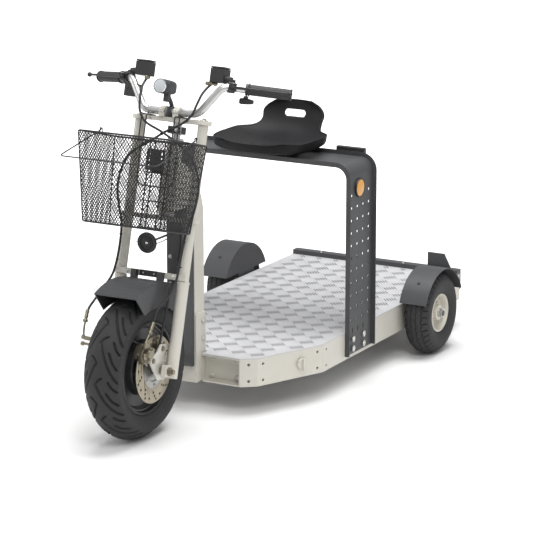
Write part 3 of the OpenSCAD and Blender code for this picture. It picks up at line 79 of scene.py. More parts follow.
def material(name):
    m = bpy.data.materials.new(name)
    m.use_nodes = True
    tree = m.node_tree
    shader = tree.nodes["Principled BSDF"]
    return m, tree, shader


def node(tree, kind, **inputs):
    n = tree.nodes.new(kind)
    for key, value in inputs.items():
        if key in n.inputs:
            n.inputs[key].default_value = value
        else:
            setattr(n, key, value)
    return n


def map_range(tree, source, **limits):
    """Maps a socket's values, such as To_Min=0.9 for the input To Min."""
    ramp = node(tree, "ShaderNodeMapRange")
    for key, value in limits.items():
        ramp.inputs[key.replace("_", " ")].default_value = value
    tree.links.new(source, ramp.inputs["Value"])
    return ramp.outputs["Result"]


def painted(name, color, rough, metallic=0.0, grain=260.0, bump=0.12, vary=0.06, coat=0.0, edge=0.0008):
    """A coloured surface with broad tint and gloss changes, a fine grain and softened edges."""
    m, tree, shader = material(name)
    link = tree.links.new
    where = node(tree, "ShaderNodeTexCoord").outputs["Object"]
    fine = node(tree, "ShaderNodeTexNoise", Scale=grain, Detail=3.0)
    broad = node(tree, "ShaderNodeTexNoise", Scale=9.0, Detail=5.0, Roughness=0.62)
    link(where, fine.inputs["Vector"])
    link(where, broad.inputs["Vector"])
    tint = node(tree, "ShaderNodeVectorMath", operation="SCALE")
    tint.inputs[0].default_value = color
    link(map_range(tree, broad.outputs["Fac"], From_Min=0.3, From_Max=0.7, To_Min=1 - vary, To_Max=1 + vary),
         tint.inputs["Scale"])
    link(tint.outputs["Vector"], shader.inputs["Base Color"])
    link(map_range(tree, broad.outputs["Fac"], To_Min=rough - 0.07, To_Max=rough + 0.07),
         shader.inputs["Roughness"])
    relief = node(tree, "ShaderNodeBump", Strength=bump, Distance=0.0004)
    link(fine.outputs["Fac"], relief.inputs["Height"])
    if edge:
        bevel = node(tree, "ShaderNodeBevel", samples=4, Radius=edge)
        link(bevel.outputs["Normal"], relief.inputs["Normal"])
    link(relief.outputs["Normal"], shader.inputs["Normal"])
    shader.inputs["Metallic"].default_value = metallic
    shader.inputs["Coat Weight"].default_value = coat
    shader.inputs["Coat Roughness"].default_value = 0.2
    M[name] = m
    return shader


painted("cream", (0.58, 0.56, 0.50), 0.38, coat=0.15, vary=0.03)
painted("dark", (0.050, 0.051, 0.054), 0.48, vary=0.10, grain=420, bump=0.25)
painted("bright", (0.62, 0.62, 0.62), 0.28, metallic=1.0, vary=0.08)
painted("brass", (0.36, 0.32, 0.25), 0.34, metallic=1.0, vary=0.12)
painted("alu", (0.50, 0.50, 0.51), 0.55, metallic=0.1)
painted("black", (0.016, 0.016, 0.017), 0.45, vary=0.15, grain=600, bump=0.3)
painted("plastic", (0.020, 0.020, 0.021), 0.52, vary=0.12, grain=700, bump=0.35)
painted("rubber", (0.022, 0.022, 0.023), 0.62, vary=0.15, edge=0)
painted("tyre", (0.020, 0.020, 0.021), 0.70, vary=0.18, grain=180, bump=0.3)
painted("battery", (0.07, 0.10, 0.15), 0.5)
painted("amber", (0.68, 0.32, 0.05), 0.26, coat=0.4, edge=0)
painted("red", (0.55, 0.02, 0.015), 0.2, coat=0.5)
painted("lens", (0.75, 0.78, 0.80), 0.12, coat=0.8, edge=0)
painted("hub_black", (0.018, 0.018, 0.019), 0.36, vary=0.12, grain=300, coat=0.2)
painted("steel_grey", (0.40, 0.40, 0.39), 0.40, metallic=0.9, vary=0.08)
painted("olive", (0.27, 0.24, 0.18), 0.36, metallic=0.85, vary=0.12)
painted("zinc", (0.60, 0.60, 0.57), 0.30, metallic=1.0, vary=0.10, edge=0.0004)
painted("rim_cream", (0.60, 0.57, 0.49), 0.36, coat=0.2, vary=0.03)
painted("bar", (0.56, 0.56, 0.55), 0.34, metallic=0.9, vary=0.05, bump=0.05, edge=0)
painted("dark_plastic", (0.040, 0.042, 0.045), 0.42, vary=0.08, grain=500, bump=0.15)
painted("mirror", (0.80, 0.80, 0.80), 0.14, metallic=1.0, vary=0.03, bump=0.02, edge=0)
painted("glass", (0.50, 0.53, 0.55), 0.14, coat=0.7, grain=900, bump=0.5, vary=0.04, edge=0)
painted("net", (0.012, 0.012, 0.013), 0.50, vary=0.1, edge=0)
seat_shader = painted("seat", (0.006, 0.006, 0.007), 0.56, vary=0.12, grain=520, bump=0.30, edge=0)
seat_shader.inputs["Specular IOR Level"].default_value = 0.25
painted("relief", (0.52, 0.52, 0.53), 0.55, metallic=0.1, vary=0.04, edge=0)
# Painted shade: a dark grey for flat strips laid between the tread plate's raised bars.
painted("strip_shade", (0.05, 0.05, 0.052), 0.7, vary=0.1, edge=0)
painted("pale", (0.62, 0.61, 0.56), 0.45, metallic=0.25, vary=0.05)
painted("shadow", (0.006, 0.006, 0.006), 0.8, edge=0)

SLOT_LOOK = {
    "tread_plate": "alu", "cream_paint": "cream", "dark_paint": "dark", "bright_steel": "bright",
    "disc_steel": "brass", "battery_case": "battery", "black_plastic": "plastic", "black_metal": "black",
    "rubber": "rubber", "tyre_rubber": "tyre", "amber_lens": "amber", "red_lens": "red", "clear_lens": "lens",
}
NODE_LOOK = {"front_axle": "olive", "horn_bracket": "dark_plastic"}


def dress_nodes():
    for part in frame["record"]["subparts"]:
        mesh = nodes[part["node"]].data
        mesh.materials.clear()
        mesh.materials.append(M[NODE_LOOK.get(part["node"], SLOT_LOOK[part["material_slot"]])])


# Shapes, gathered in millimetres
def turns(count, start=0.0):
    """Cosine and sine of equal turns round a circle."""
    return [(cos(start + 2 * pi * k / count), sin(start + 2 * pi * k / count)) for k in range(count)]


def squarer(value, power):
    """A cosine or sine drawn out, so that a round section turns squarer."""
    return copysign(abs(value) ** power, value)


def collar(inner, outer, low, high, lip, edge):
    """The profile of a collar round Z whose outer corners are cut by lip across and edge along."""
    return [(inner, low), (outer - lip, low), (outer, low + edge), (outer, high - edge), (outer - lip, high),
            (inner, high)]


class Shape:
    """Points and faces in millimetres that become one mesh."""

    def __init__(self):
        self.points = []
        self.faces = []

    def add(self, points, faces, at=None):
        first = len(self.points)
        self.points += [tuple(at @ Vector(p)) if at else tuple(p) for p in points]
        self.faces += [tuple(first + i for i in face) for face in faces]

    def skin(self, rings, closed=False, caps=True, at=None):
        """Skins a row of rings that all have the same count of points."""
        n, rows = len(rings[0]), len(rings)
        faces = []
        for i in range(rows if closed else rows - 1):
            a, b = i * n, (i + 1) % rows * n
            faces += [(a + k, a + (k + 1) % n, b + (k + 1) % n, b + k) for k in range(n)]
        if caps and not closed:
            faces += [tuple(range(n - 1, -1, -1)), tuple((rows - 1) * n + k for k in range(n))]
        self.add([p for ring in rings for p in ring], faces, at)

    def turned(self, profile, steps=48, at=None, closed=False):
        """Turns a profile of (radius, height) round Z."""
        self.skin([[(r * c, r * s, z) for c, s in turns(steps)] for r, z in profile], closed=closed, at=at)

    def prism(self, outline, low, high, at=None):
        self.skin([[(x, y, z) for x, y in outline] for z in (low, high)], at=at)

    def box(self, low, high, at=None):
        (x0, y0, z0), (x1, y1, z1) = low, high
        self.prism([(x0, y0), (x1, y0), (x1, y1), (x0, y1)], z0, z1, at)

    def tube(self, route, radius, sides=12, closed=False, at=None):
        """Sweeps a circle along a route. The radius may be a list, one for each point."""
        route = [Vector(p) for p in route]
        count = len(route)
        radii = radius if isinstance(radius, (list, tuple)) else [radius] * count
        rings = []
        up = None
        for i, p in enumerate(route):
            after = route[(i + 1) % count] if closed or i + 1 < count else p
            before = route[i - 1] if closed or i else p
            along = (after - before).normalized()
            if up is None:
                up = along.orthogonal().normalized()
            up = (up - along * up.dot(along)).normalized()
            side = along.cross(up)
            rings.append([p + radii[i] * (c * up + s * side) for c, s in turns(sides)])
        self.skin(rings, closed=closed, at=at)

    def bolt(self, place, along, radius, height, at=None):
        """A hexagon head on a washer, standing on place and pointing along."""
        way = aimed(place, along, at)
        washer = 0.22 * height
        self.turned([(0.3, 0), (1.35 * radius, 0), (1.35 * radius, washer), (0.3, washer)], 28, way)
        self.turned([(0.3, washer), (radius, washer), (radius, 0.88 * height), (0.86 * radius, height),
                     (0.3, height)], 6, way)

    def round_bolt(self, place, along, radius, height, at=None):
        """A button head with a socket."""
        self.turned([(0.2, 0), (radius, 0), (0.98 * radius, 0.45 * height), (0.75 * radius, 0.85 * height),
                     (0.48 * radius, height), (0.46 * radius, 0.5 * height), (0.2, 0.5 * height)], 24,
                    aimed(place, along, at))


def plate(loops, thick, soft=0.0):
    """Points and faces of a flat plate: the first loop is its outline, the others are holes."""
    curve = bpy.data.curves.new("loops", "CURVE")
    curve.dimensions = "2D"
    curve.fill_mode = "BOTH"
    curve.extrude = thick / 2 - soft
    curve.bevel_depth = soft
    curve.offset = -soft
    curve.bevel_resolution = 1
    for loop in loops:
        spline = curve.splines.new("POLY")
        spline.points.add(len(loop) - 1)
        for point, (x, y) in zip(spline.points, loop):
            point.co = (x, y, 0, 1)
        spline.use_cyclic_u = True
    holder = bpy.data.objects.new("loops", curve)
    mesh = holder.to_mesh()
    points = [tuple(v.co) for v in mesh.vertices]
    faces = [tuple(p.vertices) for p in mesh.polygons]
    holder.to_mesh_clear()
    bpy.data.objects.remove(holder)
    bpy.data.curves.remove(curve)
    return points, faces


def circle(x, y, radius, steps):
    return [(x + radius * c, y + radius * s) for c, s in turns(steps)]


def smooth_route(points, steps):
    """Catmull-Rom points through a route."""
    p = [Vector(q) for q in points]
    n = len(p)
    out = []
    for i in range(n - 1):
        a, b, c, d = p[max(i - 1, 0)], p[i], p[i + 1], p[min(i + 2, n - 1)]
        for k in range(steps):
            t = k / steps
            out.append(0.5 * (2 * b + (c - a) * t + (2 * a - 5 * b + 4 * c - d) * t * t
                              + (3 * b - a - 3 * c + d) * t ** 3))
    return out + [p[-1]]


def bend(start, corner, end, steps):
    """A soft bend from start to end, round a corner."""
    return [start * (1 - t) ** 2 + corner * (2 * t * (1 - t)) + end * t * t
            for t in (k / steps for k in range(steps + 1))]


def rounded(points, reach, steps):
    """A route with its inner corners rounded."""
    p = [Vector(q) for q in points]
    out = [p[0]]
    for a, b, c in zip(p, p[1:], p[2:]):
        out += bend(b + (a - b).normalized() * reach, b, b + (c - b).normalized() * reach, steps)
    return out + [p[-1]]


def rounded_loop(points, reach, steps):
    """A closed outline in a plane with its corners rounded."""
    p = [Vector((x, y, 0)) for x, y in points]
    seam = (p[0] + p[-1]) / 2
    return [(q.x, q.y) for q in rounded([seam] + p + [seam], reach, steps)[:-1]]


def mirrored(half):
    """A route from its mirror image on the right to its own end on the left."""
    half = [Vector(p) for p in half]
    return [Vector((-p.x, p.y, p.z)) for p in reversed(half)] + half


def piece(name, shape, at, body, look, slot, replaces=(), sharp=35.0, bevel=0.0, weld=0.02):
    """Makes a Shape into an object that rides on a body and stands for CAD nodes."""
    mesh = bpy.data.meshes.new(name)
    mesh.from_pydata(shape.points, [], shape.faces)
    bm = bmesh.new()
    bm.from_mesh(mesh)
    if weld:
        bmesh.ops.remove_doubles(bm, verts=bm.verts, dist=weld)
    bmesh.ops.recalc_face_normals(bm, faces=bm.faces)
    bmesh.ops.transform(bm, matrix=at, verts=bm.verts)
    if at.determinant() < 0:
        bmesh.ops.reverse_faces(bm, faces=bm.faces)
    bm.to_mesh(mesh)
    bm.free()
    mesh.shade_smooth()
    mesh.set_sharp_from_angle(angle=radians(sharp))
    mesh.materials.append(M[look])
    o = bpy.data.objects.new(name, mesh)
    bpy.context.scene.collection.objects.link(o)
    if bevel:
        b = o.modifiers.new("bevel", "BEVEL")
        b.width = bevel * 0.001
        b.segments = 2
        b.limit_method = "ANGLE"
        b.angle_limit = radians(40)
        b.harden_normals = True
    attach(o, body)
    if replaces:
        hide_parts(*replaces)
    return o


def fork_piece(name, shape, look, slot, *rest, **form):
    piece(name, shape, FORK_MM, "fork", look, slot, *rest, **form)


def chassis_piece(name, shape, look, slot, *rest, **form):
    return piece(name, shape, AXLE_MM, "chassis", look, slot, *rest, **form)


# Tyres and wheels
FRONT_OUTER, FRONT_BEAD, FRONT_WIDTH = 210, 134, 114
REAR_OUTER, REAR_BEAD, REAR_WIDTH = 133, 60, 84
REAR_X, REAR_Y = 359, 1199
TREAD_SHARE = 0.60
FRONT_WHEEL = AXLE_MM @ slide(0, 0, FRONT_OUTER)
REAR = {side: AXLE_MM @ slide(side * REAR_X, REAR_Y, REAR_OUTER) for side in (1, -1)}
# Rings on the sidewalls: place and width as shares of the tyre's width, and height
FRONT_RIBS = ((0.60, 0.010, 0.9), (0.72, 0.012, 1.1), (0.90, 0.014, -0.8))
REAR_RIBS = ((0.62, 0.012, 0.8), (0.80, 0.014, 0.9))
# Grooves of the front tread: shares along one repeat and out from the crown, and the groove's width
CHEVRONS = [
    ([(0.0, 0.0), (0.10, 0.10), (0.36, 0.30), (0.66, 0.58), (0.90, 0.86), (0.97, 0.97)], 5.8),
    ([(0.22, 0.46), (0.44, 0.66), (0.62, 0.90)], 4.8),
    ([(-0.06, 0.56), (0.10, 0.72), (0.22, 0.92)], 4.8),
    ([(0.0, 0.0), (-0.10, 0.12), (-0.16, 0.26)], 5.4),
]
FRONT_REPEATS, FRONT_GROOVE = 11, 6.5
REAR_BLOCKS = 34


def distance_to(path, c, s):
    """Least distance from places (c, s) to a path of points."""
    best = np.full(c.shape, 1e9)
    for (c0, s0), (c1, s1) in zip(path, path[1:]):
        dc, ds = c1 - c0, s1 - s0
        t = np.clip(((c - c0) * dc + (s - s0) * ds) / (dc * dc + ds * ds), 0, 1)
        best = np.minimum(best, np.hypot(c - c0 - t * dc, s - s0 - t * ds))
    return best


def groove(distance, width, depth):
    """Depth of a groove with soft shoulders at a distance from its middle line."""
    edge = np.clip((width / 2 + 0.9 - distance) / 1.8, 0, 1)
    return depth * edge * edge * (3 - 2 * edge)


def front_tread(c, s, half, length):
    repeat = length / FRONT_REPEATS
    depth = np.zeros(c.shape)
    for side in (-1, 1):
        local = (c + (side < 0) * repeat * 0.5) % repeat
        for path, width in CHEVRONS:
            for shift in (-1, 0, 1):
                points = [((a + shift) * repeat, side * b * half) for a, b in path]
                depth = np.maximum(depth, groove(distance_to(points, local, s), width, FRONT_GROOVE))
    return depth * (np.abs(s) < half)


def rear_tread(c, s, half, length):
    depth = np.zeros(c.shape)
    for share in (-0.54, -0.18, 0.18, 0.54):
        wave = 1.3 * np.sin(2 * pi * REAR_BLOCKS * c / length)
        depth = np.maximum(depth, groove(np.abs(s - share * half - wave), 3.4, 3.6))
    pitch = length / REAR_BLOCKS
    for side in (-1, 1):
        local = np.abs((c + (side > 0) * pitch / 2) % pitch - pitch / 2)
        outer = np.clip((side * s - 0.56 * half) / 2, 0, 1)
        depth = np.maximum(depth, groove(local, 4.2, 4.2) * outer)
        inner = np.clip((side * s - 0.2 * half) / 2, 0, 1) * np.clip((0.5 * half - side * s) / 2, 0, 1)
        depth = np.maximum(depth, groove(np.abs((c % pitch) - pitch / 2), 1.4, 2.4) * inner)
    return depth * (np.abs(s) < half)


def tyre_section(outer, bead, width):
    """The section from one bead over the crown to the other, as (radius, place across)."""
    wall = outer - bead
    side = [(bead + up * wall, out) for up, out in ((0, 0.36), (0.05, 0.395), (0.16, 0.44), (0.30, 0.475),
                                                    (0.45, 0.495), (0.6, 0.492))]
    crown = [(outer - 0.55 * width * (1 - cos(a)), 0.55 * sin(a))
             for a in (radians(d) for d in range(50, -51, -10))]
    points = [(r, width * x, 0) for r, x in side + crown] + [(r, -width * x, 0) for r, x in reversed(side)]
    return [(p.x, p.y) for p in smooth_route(points, 4)]


def tyre(name, body, place, outer, bead, width, tread, steps, ribs):
    """A tyre round X: its section is turned and the tread is pressed into it."""
    section = np.array(tyre_section(outer, bead, width))
    run = np.concatenate([[0], np.cumsum(np.hypot(*np.diff(section, axis=0).T))])
    even = np.linspace(0, run[-1], 96)
    section = np.stack([np.interp(even, run, section[:, k]) for k in (0, 1)], axis=1)
    tangent = np.gradient(section, axis=0)
    normal = np.stack([-tangent[:, 1], tangent[:, 0]], axis=1)
    normal /= np.linalg.norm(normal, axis=1)[:, None]
    crown = int(np.argmax(section[:, 0]))
    normal *= np.sign(normal[crown, 0])
    length = 2 * pi * outer
    c, s = np.meshgrid(np.arange(steps) * length / steps, even - even[crown], indexing="ij")
    depth = tread(c, s, TREAD_SHARE * width, length)
    for place_share, width_share, height in ribs:
        depth = depth - height * np.exp(-(((np.abs(s) - place_share * width) / (width_share * width)) ** 2))
    r, x = (section[:, k][None, :] - depth * normal[:, k][None, :] for k in (0, 1))
    inside = [(bead - 1.5, share * width) for share in (-0.30, 0.30)]
    rings = [[(x[k, j], r[k, j] * ca, r[k, j] * sa) for j in range(len(even))]
             + [(xx, rr * ca, rr * sa) for rr, xx in inside] for k, (ca, sa) in enumerate(turns(steps))]
    shape = Shape()
    shape.skin(rings, closed=True)
    piece(name + "_tread", shape, place, body, "tyre", "tyre_rubber", (name,), sharp=60)


def tyres():
    tyre("front_tyre", "front_wheel", FRONT_WHEEL, FRONT_OUTER, FRONT_BEAD, FRONT_WIDTH, front_tread, 756,
         FRONT_RIBS)
    for side, label in ((1, "left"), (-1, "right")):
        tyre("rear_tyre_" + label, "rear_wheel_" + label, REAR[side], REAR_OUTER, REAR_BEAD, REAR_WIDTH,
             rear_tread, 504, REAR_RIBS)


def wheel_piece(name, shape, look, slot, *rest, **form):
    piece(name, shape, FRONT_WHEEL, "front_wheel", look, slot, *rest, **form)


def hub_motor():
    hub = Shape()
    half = [(133.5, 38), (134.5, 42.5), (131, 45), (127.5, 43.5), (126, 38), (122, 26), (112, 17), (92, 14),
            (80, 15), (77.5, 20), (77, 31), (74, 36.5), (68, 39), (40, 39.5), (38, 42), (24, 42), (22, 39.8),
            (7.2, 39.8)]
    hub.turned([(r, -x) for r, x in reversed(half)] + half, 144, TO_X, closed=True)
    for flip in FLIPS:
        for c, s in turns(12):
            hub.round_bolt((38.6, 66 * c, 66 * s), (1, 0, 0), 3.4, 2.6, flip)
        hub.turned([(126, 32.5), (120, 31.5), (119, 28), (124, 26)], 120, flip @ TO_X, closed=True)
    wheel_piece("hub_motor", hub, "hub_black", "black_metal", ("front_hub",), sharp=28)


def brake_discs():
    carrier = Shape()
    for flip in FLIPS:
        carrier.turned([(15, 44), (30, 44), (31.5, 56), (55.5, 59.6), (55.5, 63.4), (36, 63.4), (33, 60.5),
                        (15, 60.5)], 96, flip @ TO_X, closed=True)
        for c, s in turns(6, pi / 6):
            carrier.round_bolt((63.4, 46 * c, 46 * s), (1, 0, 0), 4.2, 3.2, flip)
    wheel_piece("disc_carriers", carrier, "steel_grey", "bright_steel", sharp=28)
    loops = [circle(0, 0, 98, 160), circle(0, 0, 54.2, 120)]
    for k in range(9):
        for r, ahead in ((68, -0.085), (78.5, 0.0), (89, 0.085), (84, pi / 9)):
            a = 2 * pi * k / 9 + ahead
            loops.append(circle(r * cos(a), r * sin(a), 3.6, 14))
    points, faces = plate(loops, 4.0, 0.35)
    disc = Shape()
    for flip in FLIPS:
        disc.add(points, faces, flip @ slide(62, 0, 0) @ TO_X)
    wheel_piece("slotted_discs", disc, "brass", "disc_steel", ("brake_discs",), sharp=25)


def front_valve():
    valve = Shape()
    valve.turned([(0.2, 0), (4, 0), (4.4, 6), (3, 12), (2.6, 26), (3.2, 27), (3.2, 33), (0.2, 33.6)], 16,
                 turn(35, "X") @ slide(30, 0, 121) @ turn(122, "Y"))
    wheel_piece("front_valve", valve, "black", "black_metal")


def rear_wheel(side, label):
    place = REAR[side] @ (Matrix.Identity(4) if side > 0 else OTHER_SIDE)
    body = "rear_wheel_" + label
    rim = Shape()
    rim.turned([(59.7, 27), (61.5, 30.5), (60.5, 33), (57, 33.5), (54.5, 30), (52.5, 22), (49, 12), (44, 7.5),
                (30, 6.5), (25, 8.5), (24, 12), (23.4, 29.6), (22, 30), (10.1, 30), (10.1, -30), (23.4, -30),
                (24, -8), (46, -4), (53, -20), (54.5, -30), (58, -33.5), (61.5, -30.5), (59.7, -27)], 120,
               TO_X, closed=True)
    piece("rear_rim_" + label, rim, place, body, "rim_cream", "cream_paint", ("rear_hub_" + label,), sharp=26)
    nuts = Shape()
    nut_circle = 35.5
    for c, s in turns(4, pi / 4 + 0.2):
        nuts.bolt((6.9, nut_circle * c, nut_circle * s), (1, 0, 0), 5.4, 5.4)
        nuts.turned([(0.2, 0), (2.6, 0), (2.6, 4.4), (0.2, 4.6)], 12,
                    slide(11.5, nut_circle * c, nut_circle * s) @ TO_X)
    nuts.turned([(0.2, 0), (2.5, 0), (2.3, 14), (3.0, 14.5), (3.0, 20), (0.2, 20.5)], 14,
                slide(12, 0, 44) @ turn(72, "Y"))
    piece("rear_rim_nuts_" + label, nuts, place, body, "zinc", "bright_steel")


# Fork, axle and brakes
LEG_X = 104
BRIDGE_Z, BRIDGE_FACE = 265.5, -20
CLAMP_HEIGHTS = (705, 423)


def fork_details():
    trim, bolts = Shape(), Shape()
    for flip in FLIPS:
        leg = flip @ slide(LEG_X, 0, 0)
        trim.turned(collar(15.1, 17.9, 247, 255, 0.5, 2), 48, leg, closed=True)
        bolts.turned([(0.2, 712.5), (11.5, 712.5), (11.5, 714.4), (10.5, 715.6), (0.2, 715.6)], 40, leg)
        bolts.turned([(0.2, 715.4), (6.2, 715.4), (6.2, 719), (5.2, 720), (0.2, 720)], 6, leg)
        bolts.bolt((0.72 * LEG_X, BRIDGE_FACE + 0.1, BRIDGE_Z), (0, -1, 0), 6.4, 4.6, flip)
        for height in CLAMP_HEIGHTS:
            bolts.bolt((60, -16, height + 2), (0, -1, 0), 4.2, 3.4, flip)
    fork_piece("leg_collars", trim, "cream", "cream_paint")
    fork_piece("fork_bolts", bolts, "zinc", "bright_steel")
    clip, screws = Shape(), Shape()
    clip.box((-30, BRIDGE_FACE - 2.5, 257), (30, BRIDGE_FACE, 274.5))
    fork_piece("bridge_plate", clip, "black", "black_metal", bevel=0.6)
    for x in (-18, 18):
        screws.round_bolt((x, BRIDGE_FACE - 2.4, BRIDGE_Z), (0, -1, 0), 2.8, 1.8)
    fork_piece("bridge_plate_screws", screws, "zinc", "bright_steel")


# The calipers' own frame: X runs out from the wheel's middle and Z points away from the axle
AXLE_BACK = -32
CALIPER = slide(0, AXLE_BACK, 0) @ turn(60, "X")


def caliper():
    body, metal = Shape(), Shape()
    outline = [(-27, 72), (-22, 69.6), (20, 69.6), (27, 76), (27, 100), (20, 108), (8, 111.5), (-12, 111.5),
               (-22, 107), (-27, 98)]
    for flip in FLIPS:
        at = flip @ CALIPER
        body.prism(outline, 66.2, 78.6, at @ UPRIGHT)
        body.prism([(0.86 * y, 90 + 0.86 * (z - 90)) for y, z in outline], 48.2, 58.0, at @ UPRIGHT)
        body.box((57.0, -20, 99.6), (67, 20, 110.5), at)
        body.turned([(0.2, 0), (13.6, 0), (13.8, 5), (12.6, 9), (11, 10.5), (0.2, 10.5)], 40,
                    at @ slide(84.6, 0, 88.8) @ TO_X)
        body.turned([(0.2, 0), (9.5, 0), (9.5, 7), (8, 9), (0.2, 9)], 32, at @ slide(78.4, -15, 99) @ TO_X)
        for y in (-19, 19):
            metal.bolt((85, y, 80), (1, 0, 0), 5, 5, at)
        metal.turned([(0.2, -3), (6.5, -3), (6.5, 3), (0.2, 3)], 28, at @ slide(78, 8, 116))
        metal.turned([(0.2, 0), (4, 0), (4, 9), (0.2, 9)], 6, at @ slide(78, 8, 112))
    fork_piece("caliper_bodies", body, "olive", "disc_steel", ("calipers",), sharp=30, bevel=1.4)
    fork_piece("caliper_bolts", metal, "olive", "disc_steel")


def caliper_plates():
    bolt_places = ((-4, 62), (-47, 25))
    outline = [(29.4, -24.5), (54.9, 9.8), (54.9, 75.5), (-13.7, 73.5), (-29.4, 49), (-60.8, 29.4),
               (-58.8, 15.7), (-9.8, -29.4)]
    slot = [(16, 28), (33, 28), (33, 58.5), (16, 58.5)]
    loops = [rounded_loop(outline, 6, 5), rounded_loop(slot, 3, 3)]
    loops += [circle(y, z, 3.6, 24) for y, z in bolt_places]
    points, faces = plate(loops, 6.0, 0.5)
    bracket, bolts = Shape(), Shape()
    for flip in FLIPS:
        at = flip @ slide(82, AXLE_BACK, 0)
        bracket.add(points, faces, at @ UPRIGHT)
        for y, z in bolt_places:
            bolts.bolt((2.9, y, z), (1, 0, 0), 6.2, 4.4, at)
        bolts.turned([(0.2, 3), (12.4, 3), (12.4, 11.5), (9, 13), (0.2, 13)], 6, at @ TO_X)
    fork_piece("bracket_plates", bracket, "pale", "bright_steel", ("caliper_brackets",), sharp=30)
    fork_piece("bracket_bolts", bolts, "olive", "disc_steel")


def lock_case():
    shape, key = Shape(), Shape()
    shape.box((-22.4, 18.6, 668.6), (22.4, 49.4, 691.4))
    fork_piece("lock_case", shape, "plastic", "black_plastic", bevel=3.0)
    key.turned([(0.2, 0), (7.5, 0), (7.5, 1.6), (5.5, 2.4), (0.2, 2.4)], 28, slide(10, 18.8, 680) @ TO_FRONT)
    fork_piece("lock_barrel", key, "zinc", "bright_steel")


HOSE_LEFT = [
    (-112, 24, 822.6), (-107, 10, 818), (-101, -20, 790), (-94, -34, 755), (-88, -36, 722), (-64, -36, 692),
    (-6, -36, 668), (40, -36, 645), (92, -36, 612), (124, -34, 560), (133, -32, 510), (124, -28, 450),
    (108, -26, 400), (101, -26, 330), (99, -32, 262), (92, -52, 210), (80, -84, 168), (79, -96, 135),
    (79, -108, 104)]
HOSE_RIGHT = [
    (112, 24, 822.6), (106, 10, 818), (99, -18, 790), (90, -28, 755), (78, -30, 722), (44, -27, 694),
    (-1, -26, 671), (-50, -30, 636), (-104, -36, 596), (-130, -32, 540), (-131, -32, 490), (-120, -28, 440),
    (-108, -26, 400), (-105, -26, 330), (-109, -32, 262), (-117, -50, 222), (-122, -92, 176),
    (-122, -122, 145), (-121, -132, 112)]
MOTOR_CABLE = [
    (64, 6, 420), (66, 14, 390), (68, 20, 350), (70, 14, 312), (74, -2, 286), (76, -3, 270), (76.5, -6, 256),
    (77, -24, 226), (76.5, -28, 166), (71, -30, 90), (71, -32, 52), (71, -32, 16)]
# Metal pipes from the hoses' lower ends to the calipers
PIPE_LEFT = [(79, -108, 105), (79, -114, 94), (79, -122, 80), (79, -126, 68)]
PIPE_RIGHT = [(-121, -132, 113), (-121, -134, 94), (-120, -134, 76), (-117, -133, 62), (-104, -130, 60),
              (-94, -128, 62)]
# The crimped end of a hose, and points along each hose that carry a tie
HOSE_END = [(0.2, -4), (6.4, -4), (7, -2), (7, 2), (6.4, 4), (4.4, 5), (4.4, 9), (5.6, 10), (5.6, 17),
            (4.8, 18), (4.8, 22), (5.4, 22.5), (5.4, 31), (4.4, 32), (3.5, 32)]
TIES = ((74, 100, 108), (50, 100, 108), (20, 44))


def hoses():
    rubber, ends, ties = Shape(), Shape(), Shape()
    routes = [smooth_route(route, 8) for route in (HOSE_LEFT, HOSE_RIGHT, MOTOR_CABLE)]
    for points in routes:
        rubber.tube(points, 3.4, 14)
    fork_piece("smooth_hoses", rubber, "rubber", "black_plastic", ("brake_hoses",))
    for route in routes[:2]:
        for points in (route, route[::-1]):
            ends.turned(HOSE_END, 20, aimed(points[0], (points[3] - points[0]).normalized()))
    for pipe in (PIPE_LEFT, PIPE_RIGHT):
        ends.tube(smooth_route(pipe, 6), 2.8, 12)
    ends.turned([(0.2, -5), (6.4, -5), (7, -3), (7, 3), (6.4, 5), (0.2, 5)], 6,
                slide(79, -122, 72) @ turn(38, "X"))
    for z in (47, 65):
        ends.turned([(0.2, 0), (6, 0), (6.4, 2), (6.4, 7), (5.4, 8.5), (4, 9), (4, 30), (0.2, 30)], 24,
                    slide(-125, -131, z) @ TO_X)
    fork_piece("hose_fittings", ends, "olive", "disc_steel")
    for points, places in zip(routes, TIES):
        for k in places:
            at = aimed(points[k], (points[k + 1] - points[k - 1]).normalized())
            ties.turned([(3.3, -1.6), (4.6, -1.6), (4.6, 1.6), (3.3, 1.6)], 20, at, closed=True)
            ties.box((3.5, -2, -2), (7.5, 2, 2), at)
    fork_piece("hose_ties", ties, "plastic", "black_plastic", bevel=0.3)


# Handlebar and controls, in the fork's frame
BAR_Y, BAR_Z, GRIP_Z = -11, 729, 816
BAR_RADIUS = 11
BAR_HALF = [(89.4, BAR_Y, BAR_Z), (150.8, 2.1, GRIP_Z), (189.3, 36.4, GRIP_Z), (315.8, 100.9, GRIP_Z)]
GRIP_PLACE = slide(189.3, 36.4, GRIP_Z) @ turn(27, "Z")
CLAMP_X, CLAMP_Y = 168.1, 17.5
CLAMP_PLACE = slide(CLAMP_X, CLAMP_Y, GRIP_Z) @ turn(41.7, "Z")
PIVOT = Vector((184.1, -0.4, GRIP_Z))
TIP = Vector((332.8, 62.4, GRIP_Z))
THUMB_PIN = slide(204.4, 44.1, 796.9)
RESERVOIR_RISE, PORT_RISE = 32.5, 21.2
RESERVOIR = Vector((123.8, 23.9, GRIP_Z + RESERVOIR_RISE))


